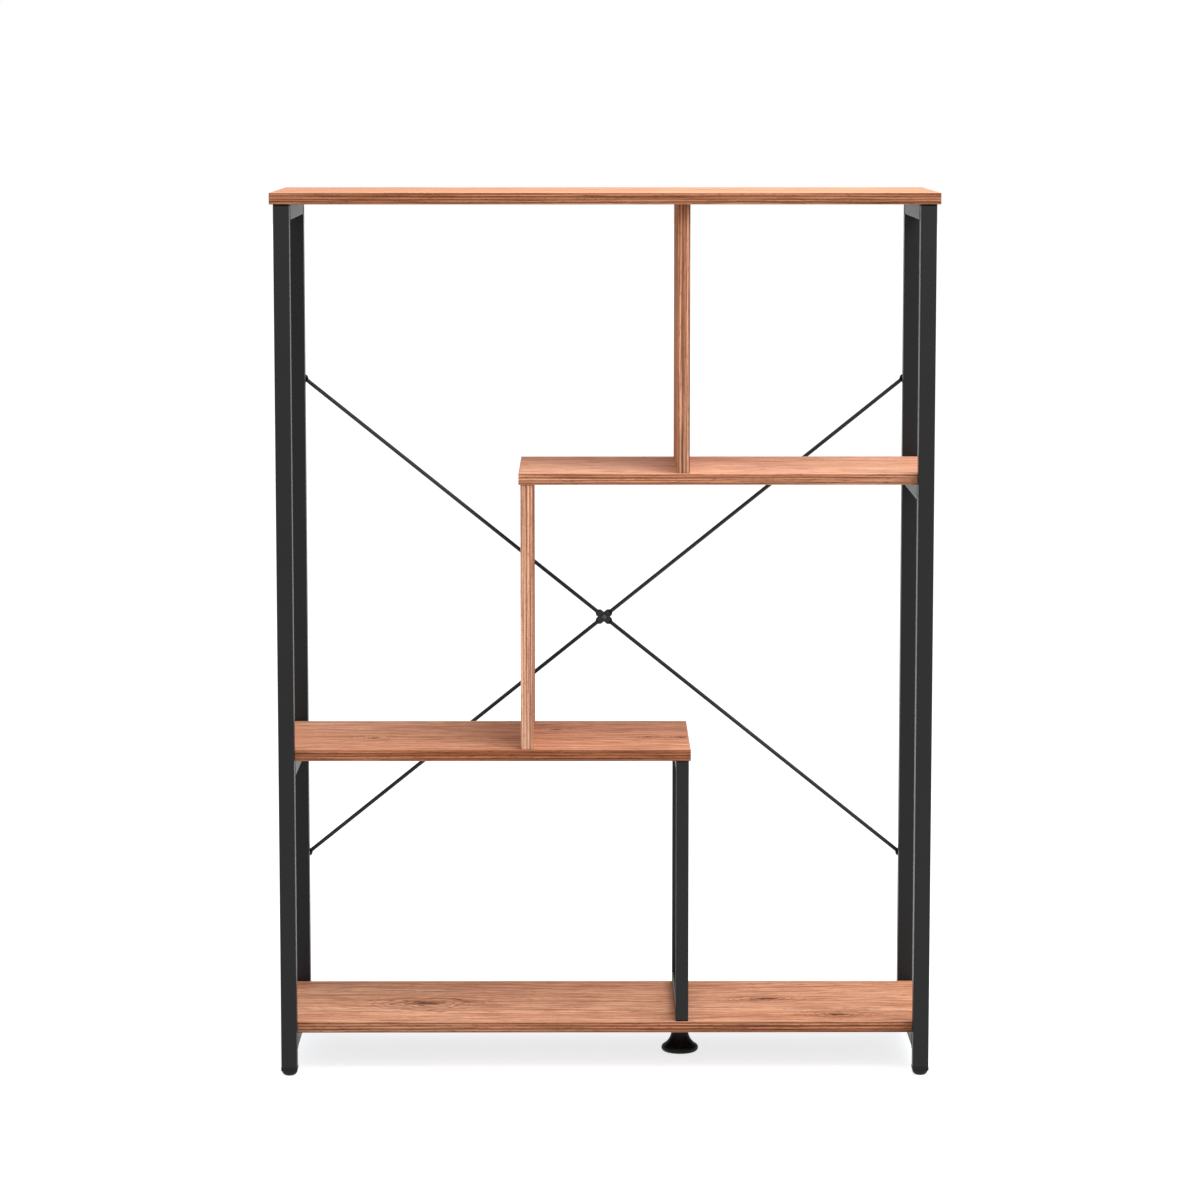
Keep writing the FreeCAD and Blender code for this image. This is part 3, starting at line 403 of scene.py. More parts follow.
@dataclass(frozen=True)
class Coated(Finish):
    """A skin of one colour with a fine bump: powder coat, moulded plastic or plated metal.

    The bump breaks up highlights, and the clouding keeps large faces from looking dead flat.
    """

    name: str
    colour: str
    cloud: str
    roughness: float
    rough_swing: float
    grain: float
    relief: float
    metallic: float = 0.0
    gloss: float = 0.5

    def surface(self, tree: Tree) -> Feed:
        """Cloud the colour and roughness slowly, and bump the surface finely."""
        place = add_node(tree, "ShaderNodeTexCoord").outputs["Object"]
        slow = add_node(tree, NOISE, {"Vector": place, "Scale": 1 / CLOUD, "Detail": 2.0})
        fine = add_node(tree, NOISE, {"Vector": place, "Scale": 1 / self.grain, "Detail": 1.5})
        tints = {0: slow, 6: linear(self.colour), 7: linear(self.cloud)}
        dull, swing = self.roughness, self.rough_swing
        rough = {"Value": fine, "To Min": dull - swing, "To Max": dull + swing}
        bumps = {"Height": fine, "Strength": 0.3, "Distance": self.relief}
        sockets = {
            "Base Color": add_node(tree, "ShaderNodeMix", tints, data_type="RGBA").outputs[2],
            "Roughness": add_node(tree, MAP_RANGE, rough),
            "Normal": add_node(tree, "ShaderNodeBump", bumps),
            "Metallic": self.metallic,
        }
        if not self.metallic:
            sockets |= {"IOR": RESIN_IOR, "Specular IOR Level": self.gloss}
        return add_node(tree, "ShaderNodeBsdfPrincipled", sockets)


@dataclass(frozen=True)
class StudioPaper(Finish):
    """White paper sweep, lit so that it reads as white and keeps a soft shadow."""

    name: str = "white_paper_floor"
    colour: str = "#c8c8c8"
    # A slightly cool white, since the boards throw warm light into the shadow.
    glow: str = "#fafdff"
    lift: float = 0.77

    def surface(self, tree: Tree) -> Feed:
        """Matt white, lifted to white only where it is seen."""
        seen = seen_share(tree)
        level = add_node(tree, MATH, {0: seen, 1: self.lift}, operation="MULTIPLY")
        light = add_node(tree, "ShaderNodeEmission", {"Color": linear(self.glow), "Strength": level})
        paper = add_node(tree, "ShaderNodeBsdfDiffuse", {"Color": linear(self.colour)})
        return add_node(tree, "ShaderNodeAddShader", {0: paper, 1: light})


def seen_share(tree: Tree) -> Feed:
    """Give 1 for rays that show a surface to the eye, directly or in a gloss, and 0 for the rest."""
    path = add_node(tree, "ShaderNodeLightPath").outputs
    seen = path["Is Camera Ray"]
    for name in ("Is Glossy Ray", "Is Transmission Ray"):
        seen = add_node(tree, MATH, {0: seen, 1: path[name]}, operation="MAXIMUM")
    return seen


# Shelves show a warm mid brown with the grain running from side to side.
SHELF_OAK = OakPrint("oak_print_melamine_board", Grain.SIDEWAYS)
# The top board shows calmer grain. The upper step gets a paler copy of the print, as painted light, and
# the lower step a darker one, as painted shade under the upper step, with a few pin knots.
CALM_OAK = replace(
    SHELF_OAK,
    name="oak_print_melamine_board_calm",
    tints=("#e9b08f", "#d69877", "#ae6d4a", "#763f21"),
    ring_depth=0.22,
    streak_depth=0.3,
    fibre_depth=0.35,
)
PAINTED_LIGHT_OAK = replace(
    SHELF_OAK,
    name="oak_print_melamine_board_painted_light",
    tints=("#f7c1a2", "#e7ab8b", "#bb7b59", "#844b2d"),
)
PAINTED_SHADE_OAK = replace(
    SHELF_OAK,
    name="oak_print_melamine_board_painted_shade",
    tints=("#e9ae8d", "#d69776", "#a86744", "#703a1d"),
    knots=(
        Knot(-0.37, -0.034, 0.028, 0.024),
        Knot(-0.078, 0.06, 0.028, 0.024),
        Knot(0.07, -0.024, 0.022, 0.02),
        Knot(0.124, -0.03, 0.026, 0.022),
    ),
)
# The bottom shelf shows three knots that the grain flows round.
BOTTOM_OAK = OakPrint(
    "oak_print_melamine_board_with_knots",
    Grain.SIDEWAYS,
    knots=(
        Knot(-0.292, -0.02, 0.085, 0.05),
        Knot(0.262, 0.01, 0.06, 0.03),
        Knot(0.372, -0.1, 0.05, 0.03),
    ),
)
# Dividers show the same brown with upright grain; seen almost edge on, they stay warm and dead matt.
DIVIDER_OAK = OakPrint("oak_print_melamine_upright", Grain.UPRIGHT, gloss=0.0)
# Edge bands show the print harder: about four long dark lines over the thickness of a board. Their
# rounded edges get a paler painted highlight.
BAND_OAK = OakPrint(
    "oak_print_edge_band",
    Grain.SIDEWAYS,
    tints=("#d69978", "#bc7a58", "#824527", "#3c1606"),
    ring=4.6 * MM,
    streak=(2.6 * MM, 600 * MM),
    fibre=(1.5 * MM, 90 * MM),
    pore=(1.4 * MM, 12 * MM),
    wander=0.8 * MM,
    astray=1.6,
    ring_depth=0.95,
    streak_depth=0.75,
    ends_turned=True,
    edge_highlight_tint="#d39b7e",
)
# The upper step's band is painted paler, as painted light, and the top board's darker, as painted
# shade.
PAINTED_LIGHT_BAND_OAK = replace(
    BAND_OAK,
    name="oak_print_edge_band_painted_light",
    tints=("#e9af8f", "#d79877", "#965a3a", "#4e2008"),
)
PAINTED_SHADE_BAND_OAK = replace(
    BAND_OAK,
    name="oak_print_edge_band_painted_shade",
    tints=("#be8464", "#aa6c4c", "#733c20", "#341205"),
)
# On the dividers the same lines stand upright on a paler ground.
UPRIGHT_BAND_OAK = OakPrint(
    "oak_print_upright_edge_band",
    Grain.UPRIGHT,
    tints=("#f8c4a6", "#edb090", "#a86846", "#54200c"),
    ring=5.2 * MM,
    streak=(2.8 * MM, 600 * MM),
    fibre=(1.7 * MM, 120 * MM),
    pore=(1.4 * MM, 12 * MM),
    wander=0.8 * MM,
    astray=1.6,
    ring_depth=0.9,
    streak_depth=0.85,
    fibre_depth=0.6,
)
# The upper divider's band is a copy of it painted darker, as painted shade under the top board.
PAINTED_SHADE_UPRIGHT_BAND_OAK = replace(
    UPRIGHT_BAND_OAK,
    name="oak_print_upright_edge_band_painted_shade",
    tints=("#f0b594", "#d79774", "#834a2a", "#421606"),
    ring_depth=0.95,
)
# Satin black with a fine orange peel; the peel is drawn at 1.2 mm so that it shows.
POWDER_COAT = Coated(
    "powder_coated_steel_black", "#151515", "#1a1a1a", 0.42, 0.06, 1.2 * MM, 0.04 * MM, gloss=0.22
)
# The round wires have the same coat, laid on smoother, so that a line of light runs along them.
WIRE_COAT = Coated(
    "powder_coated_wire_black", "#161616", "#1c1c1c", 0.34, 0.05, 1.2 * MM, 0.03 * MM, gloss=0.35
)
# Moulded parts are a little deeper black and duller, with a spark-eroded mould texture, which is drawn
# at 0.9 mm so that it shows.
MOULDED_PLASTIC = Coated(
    "moulded_polypropylene_black", "#0c0c0c", "#101010", 0.5, 0.08, 0.9 * MM, 0.05 * MM, gloss=0.2
)
# Caps pushed into the tubes are matt, so that they end a post with a darker strip.
CAP_PLASTIC = Coated(
    "moulded_polyethylene_black", "#070707", "#0a0a0a", 0.65, 0.06, 0.9 * MM, 0.05 * MM, gloss=0.05
)
# Black zinc lets some metal shine through. The grit of plated and cast zinc is drawn coarser, at about
# 0.8 mm, so that it shows.
BLACK_ZINC = Coated(
    "black_zinc_plated_steel", "#4c4c4e", "#5a5a5c", 0.36, 0.08, 0.8 * MM, 0.02 * MM, 1.0
)
# Bright zinc is a pale, half-dull metal with a faint cloud.
BRIGHT_ZINC = Coated(
    "bright_zinc_plated_steel", "#b4b7bb", "#c6c4bd", 0.3, 0.08, 0.8 * MM, 0.02 * MM, 1.0
)
# Cast zinc is greyer and duller, with the grain of its mould.
CAST_ZINC = Coated("die_cast_zinc", "#8f9194", "#a1a2a3", 0.45, 0.1, 0.7 * MM, 0.05 * MM, 1.0)
# Beech is a pale, dull brown with flecks.
BEECH = Coated("turned_beech", "#cfa67b", "#b98c60", 0.6, 0.08, 1.5 * MM, 0.05 * MM)

SLOT_FINISHES: dict[str, Finish] = {
    "oak_board": SHELF_OAK,
    "oak_edge_band": BAND_OAK,
    "black_steel": POWDER_COAT,
    "black_plastic": MOULDED_PLASTIC,
    "black_zinc": BLACK_ZINC,
    "zinc_steel": BRIGHT_ZINC,
    "zinc_cam": CAST_ZINC,
    "beech_dowel": BEECH,
}
NODE_SLOTS = {part["node"]: part["material_slot"] for part in frame["record"]["subparts"]}


def dress_node(node: str, finish: Finish | None = None) -> None:
    """Give a CAD node a finish.

    Args:
        node: Name of the node.
        finish: The finish, or None for the one that its slot names.
    """
    chosen = finish or SLOT_FINISHES[NODE_SLOTS[node]]
    for slot in frame["nodes"][node].material_slots:
        slot.material = chosen.material()
    LOG.info("%s: %s", node, chosen.name)


def mesh_object(name: str, mesh: Mesh) -> Piece:
    """Put a mesh in the scene as an object at the origin."""
    made = bpy.data.objects.new(name, mesh)
    bpy.context.scene.collection.objects.link(made)
    return made


def lofted(
    name: str, rows: Sequence[Row], turns: Sequence[float], axis: Sequence[float] = (0, 0)
) -> Mesh:
    """Join level rings of points into a closed mesh, with a face on the first and last ring.

    Args:
        name: Name of the mesh.
        rows: Height and reach of each ring, in order.
        turns: Directions of the points of every ring.
        axis: Where the upright axis of the rings stands.

    Returns:
        The mesh, with outward faces and smooth shading up to sharp edges.
    """
    form = bmesh.new()
    middle = Vector((*axis, 0))
    rings = []
    for height, reach in rows:
        radii = [reach(turn) if callable(reach) else reach for turn in turns]
        points = [(r * math.cos(t), r * math.sin(t), height) for r, t in zip(radii, turns)]
        rings.append([form.verts.new(middle + Vector(point)) for point in points])
    for lower, upper in zip(rings, rings[1:]):
        for i in range(len(lower)):
            form.faces.new((lower[i - 1], lower[i], upper[i], upper[i - 1]))
    form.faces.new(rings[0])
    form.faces.new(rings[-1])
    bmesh.ops.recalc_face_normals(form, faces=form.faces)
    mesh = bpy.data.meshes.new(name)
    form.to_mesh(mesh)
    form.free()
    mesh.shade_smooth()
    mesh.set_sharp_from_angle(angle=SHARP)
    return mesh


def all_round(count: int) -> list[float]:
    """Spread directions evenly round a circle."""
    return [i * math.tau / count for i in range(count)]


def hexagon_reach(apothem: float) -> Reach:
    """Give the reach of a hexagon in each direction, from half its width across flats."""
    sixth = math.pi / 3
    return lambda turn: apothem / math.cos((turn + sixth / 2) % sixth - sixth / 2)


def geometry_tree(name: str, **inputs: str) -> tuple[Tree, bpy.types.NodeOutputs]:
    """Start a Geometry Nodes tree with named inputs.

    Args:
        name: Name of the tree.
        inputs: Kind of socket of each input after the geometry.

    Returns:
        The tree and the sockets that give its inputs.
    """
    tree = bpy.data.node_groups.new(name, "GeometryNodeTree")
    tree.interface.new_socket("Geometry", in_out="INPUT", socket_type="NodeSocketGeometry")
    tree.interface.new_socket("Geometry", in_out="OUTPUT", socket_type="NodeSocketGeometry")
    for label, kind in inputs.items():
        tree.interface.new_socket(label, in_out="INPUT", socket_type="NodeSocket" + kind)
    return tree, add_node(tree, "NodeGroupInput").outputs


def end_tree(tree: Tree, shape: Feed, finish: Feed) -> None:
    """Make a tree's result real geometry with a material, and send it out."""
    real = add_node(tree, "GeometryNodeRealizeInstances", {"Geometry": shape})
    dressed = add_node(tree, "GeometryNodeSetMaterial", {"Geometry": real, "Material": finish})
    add_node(tree, "NodeGroupOutput", {"Geometry": dressed})


def grown(name: str, base: Mesh, tree: Tree, values: dict[str, object]) -> Piece:
    """Run a Geometry Nodes tree on a mesh and keep the result as a plain mesh.

    Args:
        name: Name of the piece.
        base: Mesh that the tree starts from.
        tree: The tree.
        values: Value of each named input.

    Returns:
        The piece, with no modifier left on it.
    """
    piece = mesh_object(name, base)
    grow = piece.modifiers.new("grow", "NODES")
    grow.node_group = tree
    for item in tree.interface.items_tree:
        if item.in_out == "INPUT" and item.name in values:
            grow[item.identifier] = values[item.name]
    evaluated = piece.evaluated_get(bpy.context.evaluated_depsgraph_get())
    result = bpy.data.meshes.new_from_object(evaluated)
    piece.modifiers.clear()
    piece.data = result
    return piece


def settle(piece: Piece, body: str, replaced: Iterable[str] = ()) -> None:
    """Tie a finished piece to its body, and let it stand for CAD nodes.

    Args:
        piece: The piece.
        body: CAD body that it rides on.
        replaced: CAD nodes that it stands for.
    """
    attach(piece, body)
    nodes = tuple(replaced)
    if nodes:
        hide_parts(*nodes)
    LOG.info("%s: %d faces, rides on %s", piece.name, len(piece.data.polygons), body)


def repeat_tree() -> Tree:
    """Tree that sets a small piece on every point, along the point's facing and turned at random."""
    kinds = {"Piece": "Object", "Turn": "Float", "Seed": "Int", "Finish": "Material"}
    tree, given = geometry_tree("hardware_on_points", **kinds)
    piece = add_node(tree, "GeometryNodeObjectInfo", {"Object": given["Piece"]})
    stored = {"Name": "facing"}
    facing = add_node(tree, "GeometryNodeInputNamedAttribute", stored, data_type="FLOAT_VECTOR")
    aimed = add_node(tree, "FunctionNodeAlignRotationToVector", {"Vector": facing}, axis="Z")
    limits = {2: 0.0, 3: given["Turn"], "Seed": given["Seed"]}
    spin = add_node(tree, "FunctionNodeRandomValue", limits, data_type="FLOAT")
    about = add_node(tree, "ShaderNodeCombineXYZ", {"Z": spin.outputs[1]})
    both = {"Rotation": aimed, "Rotate By": about}
    turned = add_node(tree, "FunctionNodeRotateRotation", both, rotation_space="LOCAL")
    spots = {"Points": given["Geometry"], "Instance": piece.outputs["Geometry"], "Rotation": turned}
    placed = add_node(tree, "GeometryNodeInstanceOnPoints", spots)
    end_tree(tree, placed, given["Finish"])
    return tree


def repeated(
    name: str, pattern: Mesh, spots: Sequence[Spot], turn: float, seed: int, finish: Finish
) -> Piece:
    """Set one small piece on several spots.

    Args:
        name: Name of the piece that holds all of them.
        pattern: Mesh of one, standing along +Z from its seat at the origin.
        spots: Where each one sits, and which way it faces.
        turn: Largest random turn about its own axis, in radians.
        seed: Seed of the random turn.
        finish: Its finish.

    Returns:
        The piece.
    """
    points = bpy.data.meshes.new(name + "_spots")
    points.from_pydata([place for place, _ in spots], [], [])
    facing = points.attributes.new("facing", "FLOAT_VECTOR", "POINT")
    facing.data.foreach_set("vector", [part for _, way in spots for part in way])
    sample = mesh_object(name + "_pattern", pattern)
    tree = bpy.data.node_groups.get("hardware_on_points") or repeat_tree()
    values = {"Piece": sample, "Turn": turn, "Seed": seed, "Finish": finish.material()}
    piece = grown(name, points, tree, values)
    bpy.data.objects.remove(sample)
    return piece


@dataclass
class WeldSeams:
    """Beads of weld where rails meet posts, on the sides and the underside."""

    bead: float = 1.7 * MM
    pitch: float = 1.9 * MM
    seed: int = 7
    # How far a seam lies inside the rail's corners, and how far it stops below the rail's top.
    inset: float = 0.9 * MM
    top_gap: float = 3 * MM
    # Range of a bead's random size, as shares of the plain one along each axis.
    smallest: tuple[float, float, float] = (0.8, 0.85, 0.8)
    largest: tuple[float, float, float] = (1.1, 1.1, 1.1)

    def seams(self, rail: str, front_post: str, rear_post: str) -> list[Segment]:
        """Find the seams at both ends of a rail.

        Args:
            rail: Node of the rail.
            front_post: Node of the post at its front end.
            rear_post: Node of the post at its rear end.

        Returns:
            Start and end of each seam.
        """
        low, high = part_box(rail)
        left, right = low.x + self.inset, high.x - self.inset
        bottom, top = low.z + self.inset, high.z - self.top_gap
        found: list[Segment] = []
        for y in (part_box(front_post)[1].y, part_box(rear_post)[0].y):
            for x in (left, right):
                found.append((Vector((x, y, bottom)), Vector((x, y, top))))
            found.append((Vector((left, y, bottom)), Vector((right, y, bottom))))
        return found

    def tree(self) -> Tree:
        """Tree that lays overlapping beads along every seam."""
        kinds = {"Bead": "Float", "Pitch": "Float", "Seed": "Int", "Finish": "Material"}
        tree, given = geometry_tree("weld_beads", **kinds)
        path = add_node(tree, "GeometryNodeMeshToCurve", {"Mesh": given["Geometry"]})
        even = {"Curve": path, "Length": given["Pitch"]}
        steps = add_node(tree, "GeometryNodeResampleCurve", even, mode="LENGTH")
        drop = add_node(tree, "GeometryNodeMeshIcoSphere", {"Radius": given["Bead"], "Subdivisions": 2})
        limits = {0: self.smallest, 1: self.largest, "Seed": given["Seed"]}
        size = add_node(tree, "FunctionNodeRandomValue", limits, data_type="FLOAT_VECTOR")
        row = {"Points": steps, "Instance": drop, "Scale": size}
        laid = add_node(tree, "GeometryNodeInstanceOnPoints", row)
        smooth = add_node(tree, "GeometryNodeSetShadeSmooth", {"Geometry": laid})
        end_tree(tree, smooth, given["Finish"])
        return tree

    def build(self, name: str, lines: Sequence[Segment]) -> Piece:
        """Weld a set of seams into one piece."""
        points = [point for line in lines for point in line]
        path = bpy.data.meshes.new(name + "_path")
        path.from_pydata(points, [(2 * i, 2 * i + 1) for i in range(len(lines))], [])
        tree = bpy.data.node_groups.get("weld_beads") or self.tree()
        values = {"Bead": self.bead, "Pitch": self.pitch, "Seed": self.seed}
        return grown(name, path, tree, values | {"Finish": POWDER_COAT.material()})


@dataclass
class SideFrames:
    """Left and right ladder frames of welded square tube, with caps and floor glides."""

    sides: tuple[str, str] = ("left", "right")
    rails: tuple[str, ...] = ("top_rail", "step_rail", "bottom_rail")
    welds: WeldSeams = field(default_factory=WeldSeams)

    def build(self) -> None:
        """Lay the welds of both frames."""
        for side in self.sides:
            lines: list[Segment] = []
            for rail in self.rails:
                lines += self.welds.seams(f"{side}_{rail}", f"{side}_front_post", f"{side}_rear_post")
            settle(self.welds.build(f"{side}_frame_welds", lines), "bookshelf")

    def dress(self) -> None:
        """Coat the tubes, and give caps and glides their plastic."""
        for side in self.sides:
            for part in ("front_post", "rear_post", "front_glide", "rear_glide", *self.rails):
                dress_node(f"{side}_{part}")
        dress_node("post_top_caps", CAP_PLASTIC)


@dataclass
class InnerFrame:
    """Small welded frame that stands on the bottom shelf and carries the lower step."""

    welds: WeldSeams = field(default_factory=lambda: WeldSeams(bead=1.4 * MM, pitch=1.6 * MM, seed=11))

    def build(self) -> None:
        """Lay the welds of the frame."""
        lines: list[Segment] = []
        for rail in ("inner_top_rail", "inner_bottom_rail"):
            lines += self.welds.seams(rail, "inner_front_post", "inner_rear_post")
        settle(self.welds.build("inner_frame_welds", lines), "bookshelf")

    def dress(self) -> None:
        """Coat the tubes, plate the screws and give the caps their plastic."""
        tubes = ("front_post", "rear_post", "top_rail", "bottom_rail")
        for part in (*tubes, "top_screws", "bottom_screws"):
            dress_node("inner_" + part)
        dress_node("inner_post_caps", CAP_PLASTIC)


@dataclass
class Boards:
    """Shelves and top board with their edge bands, and the screws that hold them to the rails."""

    # The upper step's face carries painted light, and the lower step's face painted shade.
    prints: tuple[tuple[str, OakPrint, OakPrint], ...] = (
        # The top board's band carries painted shade, and the upper step's band painted light.
        ("top_board", CALM_OAK, PAINTED_SHADE_BAND_OAK),
        ("upper_step_shelf", PAINTED_LIGHT_OAK, PAINTED_LIGHT_BAND_OAK),
        ("lower_step_shelf", PAINTED_SHADE_OAK, BAND_OAK),
        ("bottom_shelf", BOTTOM_OAK, BAND_OAK),
    )
    screwed: tuple[str, ...] = ("top_board", "upper_step", "lower_step", "bottom_shelf")

    def dress(self) -> None:
        """Print the boards and bands, and plate the screws."""
        for name, face, band in self.prints:
            dress_node(name, face)
            dress_node(name + "_edge_bands", band)
        for name in self.screwed:
            dress_node(name + "_screws")


@dataclass
class Dividers:
    """Two upright boards with cam fittings in the side that faces away from the middle."""

    # Sizes of a cam and of the cross recess in it; the recess is measured from its middle.
    diameter: float = 15 * MM
    depth: float = 12.5 * MM
    cross_length: float = 3.6 * MM
    cross_width: float = 0.9 * MM
    cross_depth: float = 2.6 * MM
    # Size of the recess at its floor, as a share of its mouth.
    cross_taper: float = 0.7
    chamfer: float = 0.4 * MM
    largest_turn: float = 1.2

    def cross_reach(self, turn: float) -> float:
        """Give the reach of the cross recess in one direction."""
        quarter = math.pi / 2
        aside = abs((turn + quarter / 2) % quarter - quarter / 2)
        if aside < math.atan2(self.cross_width, self.cross_length):
            return self.cross_length / math.cos(aside)
        return self.cross_width / math.sin(aside)

    def cam(self) -> Mesh:
        """Make one cam, its face at the origin and its body behind it."""
        corner = math.atan2(self.cross_width, self.cross_length)
        # One more point between a corner of the recess and the next arm keeps the rim round.
        between = 0.5
        steps = (-math.pi / 4, -between, -corner, -corner / 2, 0.0, corner / 2, corner, between)
        turns = [quarter * math.pi / 2 + step for quarter in range(4) for step in steps]
        outside = self.diameter / 2
        rows = [
            (-self.depth, outside),
            (-self.chamfer, outside),
            (0.0, outside - self.chamfer),
            (0.0, self.cross_reach),
            (-self.cross_depth, lambda turn: self.cross_taper * self.cross_reach(turn)),
        ]
        return lofted("cam", rows, turns)

    def build(self) -> None:
        """Set four cams in each divider, in place of the plain ones."""
        for name, way, seed in (("upper_divider", 1.0, 3), ("lower_divider", -1.0, 5)):
            low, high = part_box(name + "_cams")
            face = high.x if way > 0 else low.x
            half = self.diameter / 2
            spots = [
                (Vector((face, y, z)), Vector((way, 0, 0)))
                for y in (low.y + half, high.y - half)
                for z in (low.z + half, high.z - half)
            ]
            label = name + "_cross_cams"
            piece = repeated(label, self.cam(), spots, self.largest_turn, seed, CAST_ZINC)
            settle(piece, "bookshelf", [name + "_cams"])

    def dress(self) -> None:
        """Print the boards and bands, and dress what is hidden in them."""
        # The upper divider's band carries painted shade.
        bands = {"upper_divider": PAINTED_SHADE_UPRIGHT_BAND_OAK, "lower_divider": UPRIGHT_BAND_OAK}
        for name, band in bands.items():
            dress_node(name, DIVIDER_OAK)
            dress_node(name + "_edge_bands", band)
            for part in ("cams", "cam_bolts", "dowels"):
                dress_node(f"{name}_{part}")


@dataclass
class CrossBrace:
    """Two flattened wires that cross behind the shelves, bolted to the rear posts."""

    head: float = 4.75 * MM
    head_height: float = 2.8 * MM
    head_round: float = 2.0 * MM
    shank: float = 2.5 * MM
    # Chamfer at the tip of the shank.
    tip: float = 0.4 * MM
    # Half width across flats, depth and chamfer of the hexagon socket.
    key: float = 1.5 * MM
    key_depth: float = 1.7 * MM
    key_chamfer: float = 0.15 * MM
    facets: int = 36
    # Steps in the quarter round of the head.
    round_steps: int = 5
    largest_turn: float = 1.0
    end_seed: int = 2
    centre_seed: int = 4

    def bolt(self, grip: float) -> Mesh:
        """Make one button-head bolt with a hexagon socket, its head standing up from the origin."""
        curve = self.head_round
        flat, shoulder = self.head - curve, self.head_height - curve
        rise = [i * math.pi / (2 * self.round_steps) for i in range(self.round_steps + 1)]
        key = hexagon_reach(self.key)
        rows = [
            (-grip, self.shank - self.tip),
            (-grip + self.tip, self.shank),
            (0.0, self.shank),
            (0.0, self.head),
            *((shoulder + curve * math.sin(a), flat + curve * math.cos(a)) for a in rise),
            (self.head_height, lambda turn: key(turn) + self.key_chamfer),
            (self.head_height - self.key_chamfer, key),
            (self.head_height - self.key_depth, key),
        ]
        return lofted("button_bolt", rows, all_round(self.facets))

    def build(self) -> None:
        """Bolt the wire ends and the crossing, in place of the plain bolts."""
        backward = Vector((0, 1, 0))
        for wire, falls in (("front", True), ("rear", False)):
            node = f"brace_{wire}_end_bolts"
            low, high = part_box(node)
            left, right = low.x + self.head, high.x - self.head
            bottom, top = low.z + self.head, high.z - self.head
            seat = high.y - self.head_height
            corners = [(left, top), (right, bottom)] if falls else [(left, bottom), (right, top)]
            spots = [(Vector((x, seat, z)), backward) for x, z in corners]
            label, pattern = f"brace_{wire}_socket_bolts", self.bolt(seat - low.y)
            ends = repeated(label, pattern, spots, self.largest_turn, self.end_seed, BLACK_ZINC)
            settle(ends, "bookshelf", [node])
        low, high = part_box("brace_centre_bolt")
        middle = Vector(((low.x + high.x) / 2, low.y + self.head_height, (low.z + high.z) / 2))
        label, pattern = "brace_centre_socket_bolt", self.bolt(high.y - middle.y)
        spots = [(middle, -backward)]
        centre = repeated(label, pattern, spots, self.largest_turn, self.centre_seed, BLACK_ZINC)
        settle(centre, "bookshelf", ["brace_centre_bolt"])

    def dress(self) -> None:
        """Coat the wires and plate the hardware."""
        for part in ("wire_front", "wire_rear"):
            dress_node("brace_" + part, WIRE_COAT)
        bolts = ("front_end_bolts", "rear_end_bolts", "centre_bolt")
        for part in ("rivet_nuts", "spacers", "centre_nut", *bolts):
            dress_node("brace_" + part)


